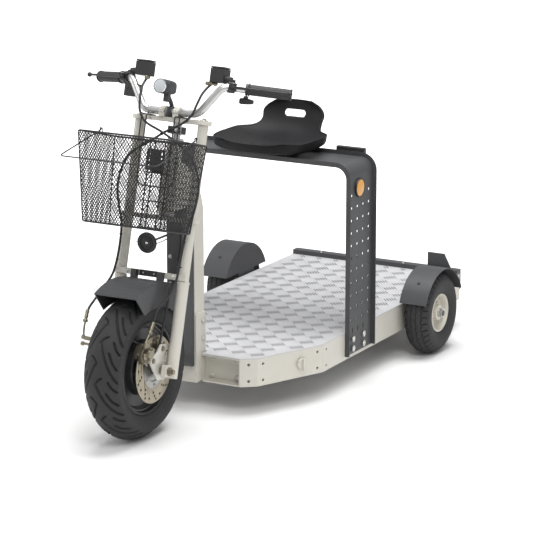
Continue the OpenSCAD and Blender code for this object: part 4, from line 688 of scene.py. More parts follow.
def handlebar():
    bar = Shape()
    bar.tube(rounded(mirrored(BAR_HALF), 22, 10), BAR_RADIUS, 40)
    fork_piece("polished_bar", bar, "bar", "cream_paint", ("handlebar",))
    clamps, bolts = Shape(), Shape()
    for flip in FLIPS:
        at = flip @ slide(22.9, BAR_Y, BAR_Z)
        clamps.turned(collar(BAR_RADIUS, 15.8, -9, 9, 1.2, 1), 48, at @ TO_X, closed=True)
        clamps.box((-9, -15.5, -16), (9, 15.5, -4), at)
        clamps.box((-9, -18.5, -3.2), (9, -12.5, 3.6), at)
        clamps.box((-9, 12.5, -3.2), (9, 18.5, 3.6), at)
        for y in (-15.4, 15.4):
            for x in (-4.6, 4.6):
                bolts.round_bolt((x, y, 3.4), (0, 0, 1), 2.7, 3.2, at)
    fork_piece("bar_clamp_blocks", clamps, "cream", "cream_paint", ("bar_clamps",), bevel=0.9)
    fork_piece("bar_clamp_screws", bolts, "zinc", "bright_steel")


def grip(name, node_name, body, flip):
    """A grip with fine flutes along its middle."""
    flute_from, flute_to, flute_depth = 29, 138, 0.55
    rings = []
    for r, z in [(11.1, 21), (18, 21), (18.6, 22), (18.6, 24), (17.4, 25.2), (15.6, 25.6), (15.0, 28.4),
                 (15.5, 30), (15.5, 137), (15.0, 138.6), (15.2, 140), (17, 141), (17.2, 143.5), (16, 145),
                 (9, 145.2), (7, 144.6), (0.3, 144.6)]:
        flute = flute_depth if flute_from < z < flute_to else 0.0
        rings.append([((r - flute * (k % 2)) * c, (r - flute * (k % 2)) * s, z)
                      for k, (c, s) in enumerate(turns(60))])
    shape = Shape()
    shape.skin(rings, at=flip @ GRIP_PLACE @ TO_X)
    piece(name, shape, FORK_MM, body, "rubber", "rubber", (node_name,), sharp=50)


def grips():
    grip("ribbed_grip", "grip_left", "fork", FLIPS[0])
    grip("ribbed_throttle", "throttle_grip", "throttle", FLIPS[1])


def lever(side, flip):
    """A flat blade that swells to its pivot and ends in a ball."""
    shape = Shape()
    along = (TIP - PIVOT).normalized()
    across = Vector((-along.y, along.x, 0))
    reach = (TIP - PIVOT).length
    rings = []
    for k in range(25):
        t = k / 24
        wide = 7.2 - 3.4 * t + sin(pi * min(t * 2, 1))
        tall = 4.6 - 1.6 * t
        bow = 3.5 * sin(pi * t)
        middle = PIVOT + along * (reach - 5) * t - across * bow * 0.5
        rings.append([middle + across * wide * squarer(c, 0.6) * 0.62 + Vector((0, 0, tall * squarer(s, 0.6)))
                      for c, s in turns(20)])
    shape.skin(rings, at=flip)
    shape.turned(collar(4.1, 8.8, -4.8, 4.8, 0.6, 0.8), 36, flip @ slide(*PIVOT), closed=True)
    ball = [(7 * sin(pi * k / 14) + 0.05, -7 * cos(pi * k / 14)) for k in range(15)]
    shape.turned(ball, 28, flip @ slide(*TIP))
    piece("lever_blade_" + side, shape, FORK_MM, "lever_" + side, "black", "black_metal",
          ("brake_lever_" + side,), sharp=50)


def levers():
    for side, flip in zip(("left", "right"), FLIPS):
        lever(side, flip)


def switch_pod():
    """The switch box and the throttle's housing on the right side."""
    pod = Shape()
    pod.box((-166, -8, 762), (-122, 22, 798))
    pod.box((-158, -4, 796), (-140, 12, 803))
    housing = OTHER_SIDE @ CLAMP_PLACE
    pod.turned([(11.2, 10), (17.5, 10), (19, 13), (19, 33), (17, 37), (11.2, 37)], 40, housing @ TO_X,
               closed=True)
    pod.box((12, 2, -30), (35, 20, 4), housing)
    for x in (-157, -145, -133):
        pod.turned([(0.3, 0), (4.6, 0), (4.6, 1.2), (3.6, 2.2), (0.3, 2.2)], 24,
                   slide(x, -7.6, 786) @ TO_FRONT)
    fork_piece("switch_pod", pod, "plastic", "black_plastic", bevel=4.0)


def cylinders():
    cast, lids, steel = Shape(), Shape(), Shape()
    port = RESERVOIR - Vector((0, 0, RESERVOIR_RISE - PORT_RISE))
    way = Vector((CLAMP_X, CLAMP_Y, GRIP_Z + PORT_RISE)) - port
    length = way.length
    ear = [(-10, -27.6), (10, -27.6), (10, -8), (-10, -8)]
    for flip in FLIPS:
        at = flip @ slide(*RESERVOIR)
        cast.box((-22, -19, -22.5), (22, 19, 17.4), at)
        lids.box((-22, -19, 18.2), (22, 19, 22.5), at)
        for x in (-16, 16):
            steel.round_bolt((x, 0, 22.2), (0, 0, 1), 2.6, 0.6, at)
        cast.turned([(0.2, -4), (6, -4), (7, -3), (7, 4), (8.8, 6), (8.8, length - 8), (7.6, length - 6),
                     (7.6, length - 1), (0.2, length)], 36, aimed(port, way, flip))
        at = flip @ CLAMP_PLACE
        cast.turned(collar(BAR_RADIUS, 16, -10, 10, 0.6, 1), 44, at @ TO_X, closed=True)
        cast.prism(ear, 5.4, 10.8, at)
        cast.prism(ear, -10.8, -5.4, at)
        cast.box((-10, -15, -10.8), (10, -9.5, 10.8), at)
        cast.box((-9, -6, 9), (9, 8, 22), at)
        steel.round_bolt((PIVOT.x, PIVOT.y, GRIP_Z + 10.6), (0, 0, 1), 5.2, 1.4, flip)
        for x in (-5.5, 5.5):
            steel.round_bolt((x, 15.0, -4), (0, 1, 0), 2.6, 1.8, at)
        cast.turned([(11, 13), (15.4, 13), (16, 13.8), (16, 20), (15.4, 20.7), (11, 20.7)], 44,
                    flip @ GRIP_PLACE @ TO_X, closed=True)
    cast.turned([(0.2, -5.6), (2.4, -5.6), (2.4, 8), (0.2, 8)], 20, THUMB_PIN)
    switch_pod()
    fork_piece("cylinder_castings", cast, "plastic", "black_metal", ("brake_cylinders",), bevel=1.0)
    fork_piece("reservoir_lids", lids, "plastic", "black_plastic", bevel=1.2)
    fork_piece("control_screws", steel, "zinc", "bright_steel")


def thumb():
    """A rounded pad that hangs from a hub on its pin."""
    shape = Shape()
    shape.turned(collar(2.56, 7, -6, 0, 0.4, 0.5), 32, THUMB_PIN, closed=True)
    rings = []
    for k in range(15):
        t = 2 * k / 14 - 1
        swell = max(1 - abs(t) ** 3.2, 0.02) ** 0.45
        tall = 8.4 * (0.55 + 0.45 * swell) * (1 - 0.18 * t)
        rings.append([(3 + 23 * t, 4.0 * swell * squarer(c, 0.7), -14.5 + tall * squarer(s, 0.6))
                      for c, s in turns(24)])
    shape.skin(rings, at=THUMB_PIN @ turn(2, "Z"))
    piece("thumb_paddle", shape, FORK_MM, "thumb", "plastic", "black_plastic", ("thumb_lever",), sharp=50)


def headlamp():
    scale = 0.913
    at = slide(0, -92, 795) @ TO_Y @ Matrix.Diagonal((scale, scale, 1, 1))
    shell, ring, lens = Shape(), Shape(), Shape()
    shell.turned([(21.2, 1.2), (22.6, 0), (23, 1.2), (23, 6.5), (22.3, 7.4), (22.3, 9), (22.9, 10),
                  (22.9, 26)], 64, at)
    rings = []
    for z, half, square in ((24, 22.9, 2.0), (30, 22.6, 3.0), (40, 22.0, 4.0), (58, 20.6, 4.5),
                            (68, 17.5, 4.2), (73, 14.5, 3.4), (74, 9, 2.6)):
        rings.append([(half * squarer(c, 2 / square), half * squarer(s, 2 / square), z)
                      for c, s in turns(48)])
    shell.skin(rings, at=at)
    shell.box((-7, -52, 754), (7, -36, 776))
    shell.tube(smooth_route([(0, BAR_Y, 745), (0, -20, 756), (0, -34, 768), (0, -44, 777)], 5), 6, 18)
    shell.turned(collar(BAR_RADIUS, 16, -7, 7, 0.4, 0.6), 44, slide(0, BAR_Y, BAR_Z) @ TO_X, closed=True)
    fork_piece("headlamp_shell", shell, "dark_plastic", "dark_paint", ("headlamp",))
    ring.turned([(20.2, 3.0), (21.0, 0.6), (22.3, 0.2), (22.6, 2.0), (21.5, 5.5), (20.2, 5.5)], 64, at,
                closed=True)
    ring.turned([(20.8, 4.6), (17, 10.5), (11, 15.5), (5, 17.8), (0.3, 17.9), (0.3, 18.4), (11.4, 16.4),
                 (17.6, 11.4), (21, 6)], 64, at)
    fork_piece("headlamp_reflector", ring, "mirror", "bright_steel")
    dome = [(max(20.8 * sin(k / 12) / sin(1.0), 0.2), -1.0 + 4.6 * (1 - cos(k / 12))) for k in range(13)]
    lens.turned([(r, z + 0.3) for r, z in dome] + [(r, z + 1.6) for r, z in reversed(dome)], 64, at)
    fork_piece("headlamp_glass", lens, "glass", "clear_lens", ("headlamp_lens",))


# Horn, lamps and reflectors
HORN_Y, HORN_Z, SHIELD_FACE = 68, 555, 226


def horn():
    at = AXLE_MM @ slide(0, HORN_Y, HORN_Z) @ TO_Y
    body, crescent, stud, clip = Shape(), Shape(), Shape(), Shape()
    body.turned([(0.3, 3.2), (10.5, 3.2), (11.5, 2.0), (12.6, 2.0), (13.4, 3.6), (17.5, 3.6), (18.6, 5.2),
                 (20.4, 5.2), (21.5, 3.4), (25.5, 2.4), (27.5, 0.4), (29.4, 0.2), (30, 1.6), (30, 8),
                 (28.8, 10.5), (24, 12.5), (15, 14), (13, 20), (11.5, 24.6), (0.3, 25)], 96)
    piece("horn_case", body, at, "chassis", "plastic", "black_plastic", ("horn",), sharp=32)
    ring = [(24.4 * cos(radians(a)), 24.4 * sin(radians(a)), 2.4) for a in range(100, 261, 8)]
    crescent.tube(ring, [0.3 + 1.5 * sin(pi * k / (len(ring) - 1)) for k in range(len(ring))], 10)
    piece("horn_trim", crescent, at, "chassis", "dark_plastic", "black_plastic")
    stud.round_bolt((0, 0, 3.0), (0, 0, -1), 4.2, 2.8)
    piece("horn_stud", stud, at, "chassis", "mirror", "bright_steel")
    x = -36
    for y in (6, -2):
        hook = [(x + 4.6 * cos(radians(a)), y + 4.6 * sin(radians(a)), 9) for a in range(40, 321, 20)]
        clip.tube(hook + [(x + 12, y - 3.4, 9)], 0.9, 8)
    piece("horn_clip", clip, at, "chassis", "zinc", "bright_steel")


def shield_details():
    bolts, wires = Shape(), Shape()
    for z in (590, 480, 400):
        for x in (16, -16):
            bolts.bolt((x, SHIELD_FACE, z), (0, -1, 0), 4.4, 3.6)
    chassis_piece("shield_bolts", bolts, "zinc", "bright_steel")
    wire = [(6, 92, 552), (7, 106, 546), (8, 140, 545), (12, 180, 550), (16, 224.5, 558)]
    wires.tube(smooth_route(wire, 8), 1.4, 8)
    chassis_piece("horn_wires", wires, "rubber", "black_plastic")


def reflectors():
    lens, cups = Shape(), Shape()
    for flip in FLIPS:
        at = flip @ slide(307.5, 788.7, 609) @ TO_X
        cups.turned([(0.3, 0), (27.4, 0), (28, 0.8), (28, 5), (27.2, 6.4), (25.8, 6.6), (25.6, 4.6),
                     (0.3, 4.6)], 72, at)
        lens.turned([(0.4, 9.2), (7, 9.0), (13, 8.5), (19, 7.6), (23.5, 6.6), (25.4, 5.6), (25.4, 4.7)],
                    72, at)
    chassis_piece("reflector_cups", cups, "black", "black_plastic", ("reflector_bases",))
    chassis_piece("prism_lenses", lens, "amber", "amber_lens", ("reflector_lenses",))


def tail_lamp():
    case, lens = Shape(), Shape()
    x0, x1, y0, z1 = 180, 276, 883, 708
    ribs, rib_first, rib_pitch, rib_wide = 15, 9, 5.6, 2.6
    case.box((x0, y0, z1 - 34), (x1, y0 + 15, z1))
    chassis_piece("tail_lamp_case", case, "plastic", "black_plastic", ("tail_lamp_housing",), bevel=3.0)
    lens.box((x0 + 2.6, y0 + 8, z1 - 31.4), (x1 - 2.6, y0 + 20.2, z1 - 2.6))
    for k in range(ribs):
        x = x0 + rib_first + rib_pitch * k
        lens.box((x, y0 + 19, z1 - 29), (x + rib_wide, y0 + 20.9, z1 - 5))
    chassis_piece("tail_lamp_glass", lens, "red", "red_lens", ("tail_lamp_lens",), bevel=1.2)


# Basket, in the fork's frame: its back wall, floor and rim, and half its width and its depth low and high
B_BACK, B_LOW, B_RIM = -50, 391, 641
B_HALF, B_HALF_LOW, B_DEPTH, B_DEPTH_LOW = 152, 133, 196, 145
SLANT = 0.65
HOOK_TOP = 715


def wire_net(shape, corners, pitch, radius):
    """Crossing wires over a four-cornered wall, each a thin four-sided bar, clipped to the wall."""
    a, b, c, d = (Vector(p) for p in corners)
    wide, tall = (b - a).length, (d - a).length
    steps = 6

    def on_wall(u, v):
        return a + (b - a) * u + (d - a) * v + (c - b - (d - a)) * u * v

    normal = (b - a).cross(d - a).normalized()
    for lean in (1, -1):
        for k in range(1, int((wide + tall * SLANT) / pitch)):
            start = k * pitch
            low = max(0.0, (start - wide) / SLANT)
            high = min(start / SLANT, tall)
            if high - low < pitch * 0.5:
                continue
            (u0, v0), (u1, v1) = (start - low * SLANT, low), (start - high * SLANT, high)
            if lean < 0:
                u0, u1 = wide - u0, wide - u1
            shape.tube([on_wall((u0 + (u1 - u0) * t) / wide, (v0 + (v1 - v0) * t) / tall)
                        + normal * lean * radius * 0.5
                        for t in (i / steps for i in range(steps + 1))], radius, 4)


def basket_corners(half, depth, height):
    front = B_BACK - depth
    return {"bl": (-half, B_BACK, height), "br": (half, B_BACK, height), "fr": (half, front, height),
            "fl": (-half, front, height)}


def basket():
    low = basket_corners(B_HALF_LOW, B_DEPTH_LOW, B_LOW)
    rim = basket_corners(B_HALF, B_DEPTH, B_RIM)
    net = Shape()
    for p, q, pitch in (("bl", "br", 9.6), ("br", "fr", 8.0), ("fr", "fl", 8.0), ("fl", "bl", 8.6)):
        wire_net(net, (low[p], low[q], rim[q], rim[p]), pitch, 0.9)
    wire_net(net, list(low.values()), 7.6, 0.95)
    fork_piece("woven_net", net, "net", "black_metal", ("basket_mesh",), weld=0)
    wires = Shape()
    for ring in (rim, low):
        points = [Vector(p) for p in ring.values()]
        loop = []
        for i, p in enumerate(points):
            before, after = ((q - p).normalized() * 12 for q in (points[i - 1], points[(i + 1) % 4]))
            loop += bend(p + before, p, p + after, 6)
        wires.tube(loop, 2.6, 12, closed=True)
    for k in low:
        wires.tube([low[k], rim[k]], 1.8, 10)
    for x in (-33, -16.5, 16.5, 33):
        wires.tube([(x, B_BACK + 3.4, B_LOW), (x, B_BACK + 3.4, B_RIM)], 2.0, 10)
    for z in (B_LOW + 3, 470, 550, B_RIM - 3):
        wires.tube([(-42, B_BACK + 2.4, z), (42, B_BACK + 2.4, z)], 1.8, 10)
    for x in (-66.9, 42.6):
        for leg in (x - 8, x + 8):
            wires.tube(rounded([(leg, B_BACK + 4.5, B_RIM - 6), (leg, B_BACK + 4.5, HOOK_TOP),
                                (leg, -2, HOOK_TOP), (leg, 2, HOOK_TOP)], 6, 5), 2.0, 10)
        wires.tube([(x - 8 + 16 * k / 12, 2 + 6 * sin(pi * k / 12), HOOK_TOP) for k in range(13)], 2.0, 10)
        wires.box((x - 13, B_BACK + 1.6, B_RIM - 4), (x + 13, B_BACK + 6.4, B_RIM))
    wires.box((-17, B_BACK + 4.5, 549.6), (17, B_BACK + 9.5, 590.4))
    loop = rounded_loop([(-60, 512), (60, 512), (60, B_RIM - 3), (-60, B_RIM - 3)], 26, 6)
    wires.tube([(x, B_BACK - 3.4, z) for x, z in loop], 1.9, 10, closed=True)
    slots = [rounded_loop([(x - 1.8, z - 6), (x + 1.8, z - 6), (x + 1.8, z + 6), (x - 1.8, z + 6)], 1.2, 2)
             for x in (-27, 13) for z in (569, 587.5, 606)]
    edge = rounded_loop([(-37, 557), (23, 557), (23, 618), (-37, 618)], 4, 3)
    points, faces = plate([edge] + slots, 1.6, 0.2)
    wires.add(points, faces, slide(0, B_BACK - 2.6, 0) @ TO_FRONT)
    fork_piece("basket_wires", wires, "black", "black_metal", ("basket_frame",), sharp=40)
    screws = Shape()
    for x, z in ((-10, 560), (10, 560), (-10, 580), (10, 580)):
        screws.round_bolt((x, B_BACK + 9.4, z), (0, 1, 0), 3.2, 2.0)
    fork_piece("basket_screws", screws, "zinc", "bright_steel")


def basket_bail():
    bail, rings = Shape(), Shape()
    pivot = Vector((157, B_BACK - 72, B_RIM + 11))
    end = Vector((157, pivot.y - 196, pivot.z - 90))
    bail.tube(rounded(mirrored([end, pivot]), 16, 8), 2.0, 12)
    for flip in FLIPS:
        bail.tube([pivot + Vector((0, 7 * s, 7 - 7 * c)) * 0.5 for c, s in turns(16)], 1.6, 8, closed=True,
                  at=flip)
        rings.tube([pivot + Vector((0, 7.5 * s, -1.5 - 7.5 * c)) for c, s in turns(20)], 1.3, 8, closed=True,
                   at=flip @ slide(-2.9, 0, 0))
    fork_piece("bail_lugs", rings, "black", "black_metal")
    piece("bail_wire", bail, FORK_MM, "bail", "black", "bright_steel", ("basket_bail",), sharp=50)


# Seat: its line and what each row of it does, as shares of its length, back height and width
SEAT_LINE = [(0, 0.16), (0.05, 0.12), (0.13, 0.045), (0.23, 0.01), (0.35, 0), (0.47, 0), (0.58, 0),
             (0.69, 0.04), (0.79, 0.12), (0.87, 0.27), (0.925, 0.46), (0.96, 0.68), (0.978, 0.88), (0.985, 1)]
SEAT_WIDTH = [0.62, 0.78, 0.9, 0.97, 1, 1, 1, 0.94, 0.74, 0.64, 0.61, 0.62, 0.5, 0.3]
SEAT_RISE = [0.06, 0.1, 0.16, 0.2, 0.22, 0.22, 0.22, 0.2, 0.14, 0.06, 0, 0, 0, 0]
SEAT_WRAP = [-0.05, -0.03, -0.01, 0, 0, 0, 0, 0.01, 0.03, 0.05, 0.06, 0.06, 0.05, 0.04]
SEAT_ROLL = [0, 0, 0, 0, 0, 0, 0.05, 0.25, 0.6, 1, 1, 1, 1, 1]
SEAT_FRONT, SEAT_LENGTH, SEAT_BACK, SEAT_SPAN = 660, 312, 104, 330
PAN_Z, SKIRT_Z, SEAT_EDGE = 717, 699, 16
# How far down the rolled edge each ring lies, and how far it is pulled in
EDGE_RINGS = ((0.0, 0.0), (0.06, -0.012), (0.16, -0.020), (0.34, -0.022), (0.52, -0.012), (0.68, 0.02),
              (0.82, 0.075), (0.93, 0.15), (1.0, 0.25))


def seat_surface(rows, columns):
    """The seat's top face and its rolled edge, as grids of points (rows, columns, xyz)."""
    last = len(SEAT_LINE) - 1
    u = np.linspace(0, last, rows)

    def eased(values):
        fine = np.array([list(p) for p in smooth_route([(k, v, 0) for k, v in enumerate(values)], 12)])
        return np.interp(u, fine[:, 0], fine[:, 1])

    x_share, z_share = (eased([p[k] for p in SEAT_LINE]) for k in (0, 1))
    width, rise, wrap, roll = (eased(v)[:, None] for v in (SEAT_WIDTH, SEAT_RISE, SEAT_WRAP, SEAT_ROLL))
    t = np.linspace(-1, 1, columns)[None, :]
    along = np.stack([np.gradient(x_share * SEAT_LENGTH), np.gradient(z_share * SEAT_BACK)], axis=1)
    along /= np.linalg.norm(along, axis=1)[:, None]
    curl = (np.clip(np.abs(t) - 0.3, 0, 1) / 0.7) ** 2
    x = width * SEAT_SPAN / 2 * t
    y = SEAT_FRONT + x_share[:, None] * SEAT_LENGTH - wrap * SEAT_LENGTH * t ** 2
    z = PAN_Z + z_share[:, None] * SEAT_BACK + rise * SEAT_BACK * curl
    top = np.stack([x, y, z], axis=2)
    down = top.copy()
    down[:, :, 0] *= 0.95
    down[:, :, 2] = SKIRT_Z
    back = top + SEAT_EDGE * np.stack([np.zeros_like(x), np.repeat(along[:, 1:2], columns, 1),
                                       np.repeat(-along[:, 0:1], columns, 1)], axis=2)
    edge = down * (1 - roll[:, :, None]) + back * roll[:, :, None]
    return top, edge


def seat_openings():
    """The grab slot and the small drain holes, to be cut from the seat."""
    cutter = Shape()
    half, tall, reach = 26, 10.9, 300
    outline = [(half + tall * cos(radians(a)), tall * sin(radians(a))) for a in range(-90, 91, 15)]
    outline += [(-x, z) for x, z in reversed(outline)]
    middle = slide(0, SEAT_FRONT + 0.6 * SEAT_LENGTH, PAN_Z + 0.606 * SEAT_BACK)
    cutter.prism(outline, 0, reach, middle @ TO_FRONT @ slide(0, 0, -reach))
    for row, share in ((0.30, 0.62), (0.46, 0.8), (0.62, 0.8)):
        for k in range(5):
            x = SEAT_SPAN * 0.5 * share * (k - 2) / 2.6
            cutter.turned([(0.3, 0), (2.6, 0), (2.6, 90), (0.3, 90)], 14,
                          slide(x, SEAT_FRONT + row * SEAT_LENGTH, PAN_Z - 30))
    return cutter


def seat():
    rows, columns = 66, 61
    top, edge = seat_surface(rows, columns)
    border = [(0, j) for j in range(columns)] + [(i, columns - 1) for i in range(1, rows)]
    border += [(rows - 1, j) for j in range(columns - 2, -1, -1)] + [(i, 0) for i in range(rows - 2, 0, -1)]
    shape = Shape()
    shape.add([tuple(p) for row in top for p in row],
              [(i * columns + j, (i + 1) * columns + j, (i + 1) * columns + j + 1, i * columns + j + 1)
               for i in range(rows - 1) for j in range(columns - 1)])
    centre = np.array([0.0, SEAT_FRONT + 0.5 * SEAT_LENGTH, 0.0])
    soft = np.interp(np.linspace(0, len(SEAT_ROLL) - 1, rows), np.arange(len(SEAT_ROLL)), SEAT_ROLL)
    rings = []
    for share, pull in EDGE_RINGS:
        ring = []
        for i, j in border:
            p = top[i, j] * (1 - share) + edge[i, j] * share
            inward = (centre - p) * np.array([1, 1, 0]) * max(pull, 0) * (1 - soft[i])
            ring.append(tuple(p + inward))
        rings.append(ring)
    shape.skin(rings, caps=False)
    o = chassis_piece("moulded_seat", shape, "seat", "black_plastic", ("seat_shell",), sharp=60)
    tool = chassis_piece("seat_cutter", seat_openings(), "seat", "black_plastic", sharp=30)
    solid = o.modifiers.new("thickness", "SOLIDIFY")
    solid.thickness = 0.005
    solid.offset = -1
    cut = o.modifiers.new("openings", "BOOLEAN")
    cut.object = tool
    cut.solver = "EXACT"
    bpy.context.view_layer.update()
    evaluated = o.evaluated_get(bpy.context.evaluated_depsgraph_get())
    mesh = bpy.data.meshes.new_from_object(evaluated)
    o.modifiers.clear()
    o.data = mesh
    bpy.data.objects.remove(tool)


# Deck, rails and arch, in the front axle's frame
DECK_TOP = 175
CELL, CELL_A, CELL_B = 44.3, 12.0, 74.0
BAR_PITCH, BAR_LONG, BAR_WIDE, BAR_TALL = 8.45, 37.0, 3.4, 0.8
# The drawn shade beside the bars: its width, its reach each way as a share of a bar, and its lift
SHADE_WIDE, SHADE_SHARE, SHADE_LIFT = 3.1, 0.34, 0.3
DECK = [(165, 311), (207.4, 343), (305, 565), (305, 1508), (-305, 1508), (-305, 565), (-207.4, 343),
        (-165, 311)]
NOTCH = (39, 346)
EDGE_MARGIN, SHORTEST_BAR, TRIM_STEP = 3, 8, 2
# A bar's outline from above, as shares of its length and of half its width
BAR_OUTLINE = ((0, 0), (0.12, 0.8), (0.3, 1), (0.7, 1), (0.88, 0.8), (1, 0), (0.88, -0.8), (0.7, -1),
               (0.3, -1), (0.12, -0.8))


def on_deck(x, y):
    """Whether a place lies on the deck's top face, clear of its edges."""
    if abs(x) < NOTCH[0] + EDGE_MARGIN and y < NOTCH[1] + EDGE_MARGIN:
        return False
    for (x0, y0), (x1, y1) in zip(DECK, DECK[1:] + DECK[:1]):
        if ((x1 - x0) * (y - y0) - (y1 - y0) * (x - x0)) / hypot(x1 - x0, y1 - y0) < EDGE_MARGIN:
            return False
    return True


def raised_bar(shape, x, y, c, s):
    """One raised bar, pointed at both ends, with a sloping skirt."""
    ends = [(x + BAR_LONG * t * c, y + BAR_LONG * t * s) for t in (-0.5, 0.5)]
    while not (on_deck(*ends[0]) and on_deck(*ends[1])):
        for i, step in ((0, TRIM_STEP), (1, -TRIM_STEP)):
            if not on_deck(*ends[i]):
                ends[i] = (ends[i][0] + step * c, ends[i][1] + step * s)
        if (ends[1][0] - ends[0][0]) * c + (ends[1][1] - ends[0][1]) * s < SHORTEST_BAR:
            return
    (x0, y0), (x1, y1) = ends
    rings = []
    for grow, z in ((0.0, 0.0), (-0.55, 0.75 * BAR_TALL), (-1.1, BAR_TALL)):
        ring = []
        for t, across in BAR_OUTLINE:
            reach = (t - 0.5) * (1 + 2 * grow / BAR_LONG) + 0.5
            half = (BAR_WIDE / 2 + grow) * across
            ring.append((x0 + (x1 - x0) * reach - s * half, y0 + (y1 - y0) * reach + c * half, DECK_TOP + z))
        rings.append(ring)
    shape.skin(rings, caps=False)
    count = len(shape.points)
    shape.faces.append(tuple(range(count - len(BAR_OUTLINE), count)))


def painted_strip_shade(shape, x, y, c, s):
    """A flat dark strip beside a raised bar, drawn where the photo shows its shade."""
    reach, half = SHADE_SHARE * BAR_LONG, SHADE_WIDE / 2
    if on_deck(x - reach * c, y - reach * s) and on_deck(x + reach * c, y + reach * s):
        shape.add([(x + t * reach * c - s * w, y + t * reach * s + c * w, DECK_TOP + SHADE_LIFT)
                   for t, w in ((-1, half), (-1, -half), (1, -half), (1, half))], [(0, 1, 2, 3)])


def deck_relief():
    """Cells turned 45 degrees, each with five bars, every other cell along the other diagonal."""
    bars, shade_strips = Shape(), Shape()
    root = sqrt(0.5)
    for i in range(-12, 52):
        for j in range(-52, 16):
            a, b = CELL_A + i * CELL, CELL_B + j * CELL
            x, y = (a + b) * root, (a - b) * root - FRONT_Y * 1000
            if abs(x) > 340 or not 270 < y < 1560:
                continue
            away = (i + j) % 2 == 0
            c, s = root, -root if away else root
            for k in range(-2, 3):
                raised_bar(bars, x - s * k * BAR_PITCH, y + c * k * BAR_PITCH, c, s)
                # Where the bars run away from the view, flat dark strips between them are painted shade.
                if away:
                    beside = (k + 0.5) * BAR_PITCH
                    painted_strip_shade(shade_strips, x - s * beside, y + c * beside, c, s)
    chassis_piece("five_bar_painted_shade", shade_strips, "strip_shade", "tread_plate", weld=0)
    chassis_piece("five_bar_relief", bars, "relief", "tread_plate", sharp=25, weld=0)


def frame_details():
    dark, screws, studs = Shape(), Shape(), Shape()
    for flip in FLIPS:
        # Thin black sheets stand for the slots on the side: painted shade, not openings.
        for y in (754, 789, 824):
            dark.box((307.5, y - 2, 164), (307.85, y + 2, 180), flip)
        for y in (754.2, 823.8):
            for z in (116, 146):
                screws.bolt((312.4, y, z), (1, 0, 0), 6.9, 2.2, flip)
        for x in (55.5, 138.6):
            for z in (104.8, 156.2):
                studs.round_bolt((x, 340.2, z), (0, -1, 0), 7.4, 3.4, flip)
        for z in (166, 216, 268):
            screws.bolt((35.8, 328.6, z), (1, 0, 0), 6.9, 2.4, flip)
        for x in (105.6, 201.6):
            screws.round_bolt((x, 1519, 190), (0, 0, 1), 4.2, 2.2, flip)
    chassis_piece("channel_studs", studs, "pale", "bright_steel")
    chassis_piece("arch_slot_shade", dark, "shadow", "dark_paint")
    chassis_piece("frame_screws", screws, "zinc", "bright_steel")


def fender_details():
    bolts = Shape()
    fender_radius, ahead = 143, 90
    rise = sqrt(fender_radius ** 2 - ahead ** 2)
    for flip in FLIPS:
        for y in (-ahead, ahead):
            bolts.round_bolt((REAR_X, REAR_Y + y, REAR_OUTER + rise),
                             (0, y / fender_radius, rise / fender_radius), 5.0, 2.4, flip)
    chassis_piece("rear_fender_bolts", bolts, "black", "bright_steel")


# Stage, light and camera
FLOOR_HALF = 30.0
FOCAL, FRAME, SENSOR = 2600, 533, 36
VIEW_DOWN, VIEW_TURN = 14.2, 28.9


def placed(name, data):
    o = bpy.data.objects.new(name, data)
    bpy.context.scene.collection.objects.link(o)
    return o


def lamp(name, place, height, size, power):
    """A square lamp that faces a point above the middle of the floor."""
    data = bpy.data.lights.new(name, "AREA")
    data.shape = "RECTANGLE"
    data.size = data.size_y = size
    data.energy = power
    o = placed(name, data)
    o.location = place
    o.rotation_euler = (Vector((0, 0, height)) - Vector(place)).to_track_quat("-Z", "Y").to_euler()


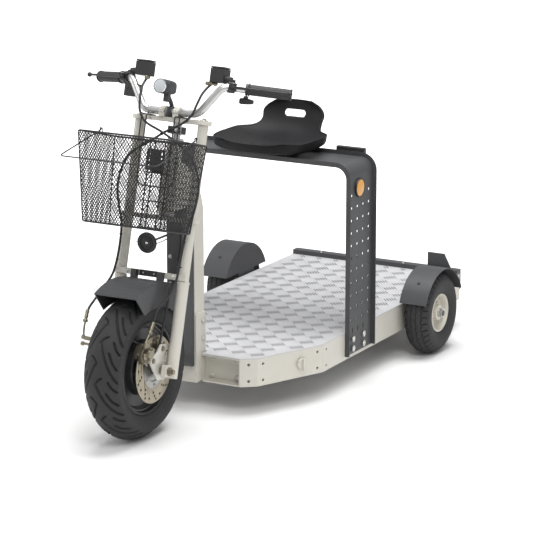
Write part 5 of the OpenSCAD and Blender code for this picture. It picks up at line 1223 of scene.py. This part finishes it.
def floor():
    """A pale floor that keeps the shadow and fades to white for the camera away from the part."""
    r = FLOOR_HALF
    mesh = bpy.data.meshes.new("floor")
    mesh.from_pydata([(-r, -r, 0), (r, -r, 0), (r, r, 0), (-r, r, 0)], [], [(0, 1, 2, 3)])
    o = placed("floor", mesh)
    m, tree, shader = material("floor")
    link = tree.links.new
    shader.inputs["Base Color"].default_value = (0.86, 0.86, 0.86, 1)
    shader.inputs["Roughness"].default_value = 0.9
    shader.inputs["Specular IOR Level"].default_value = 0.1
    shader.inputs["Emission Color"].default_value = (1, 1, 1, 1)
    away = node(tree, "ShaderNodeVectorMath", operation="LENGTH")
    link(node(tree, "ShaderNodeTexCoord").outputs["Object"], away.inputs[0])
    fade = map_range(tree, away.outputs["Value"], From_Min=0.7, From_Max=3.0, To_Min=0.0, To_Max=0.9)
    fade.node.interpolation_type = "SMOOTHSTEP"
    seen = node(tree, "ShaderNodeMath", operation="MULTIPLY")
    link(fade, seen.inputs[0])
    link(node(tree, "ShaderNodeLightPath").outputs["Is Camera Ray"], seen.inputs[1])
    link(seen.outputs["Value"], shader.inputs["Emission Strength"])
    mesh.materials.append(m)


def sky():
    """Soft light all round, and white where the camera sees past the floor."""
    world = bpy.data.worlds.new("world")
    bpy.context.scene.world = world
    world.use_nodes = True
    tree = world.node_tree
    tree.nodes.clear()
    mix = node(tree, "ShaderNodeMixShader")
    tree.links.new(node(tree, "ShaderNodeLightPath").outputs["Is Camera Ray"], mix.inputs["Fac"])
    for socket, strength in ((1, 0.55), (2, 1.0)):
        light = node(tree, "ShaderNodeBackground", Color=(1, 1, 1, 1), Strength=strength)
        tree.links.new(light.outputs[0], mix.inputs[socket])
    tree.links.new(mix.outputs[0], node(tree, "ShaderNodeOutputWorld").inputs["Surface"])


def stage():
    floor()
    sky()
    lamp("key", (2.6, -3.4, 4.6), 0.3, 2.2, 100)
    lamp("top", (0.2, 0.2, 4.2), 0.2, 2.8, 175)
    lamp("fill", (-4.0, -2.2, 2.4), 0.4, 2.5, 45)


def camera():
    data = bpy.data.cameras.new("camera")
    data.sensor_width = SENSOR
    data.lens = FOCAL / FRAME * SENSOR
    data.clip_start = 0.5
    data.clip_end = 60
    o = placed("camera", data)
    o.location = (3.748, -6.0178 + FRONT_Y, 2.293)
    o.rotation_euler = (radians(90 - VIEW_DOWN), 0, radians(VIEW_TURN))
    bpy.context.scene.camera = o


dress_nodes()
tyres()
hub_motor()
brake_discs()
front_valve()
rear_wheel(1, "left")
rear_wheel(-1, "right")
fork_details()
caliper()
caliper_plates()
lock_case()
hoses()
handlebar()
grips()
levers()
cylinders()
thumb()
headlamp()
horn()
shield_details()
reflectors()
tail_lamp()
basket()
basket_bail()
seat()
deck_relief()
frame_details()
fender_details()
stage()
camera()
bpy.context.scene.view_settings.view_transform = "Standard"
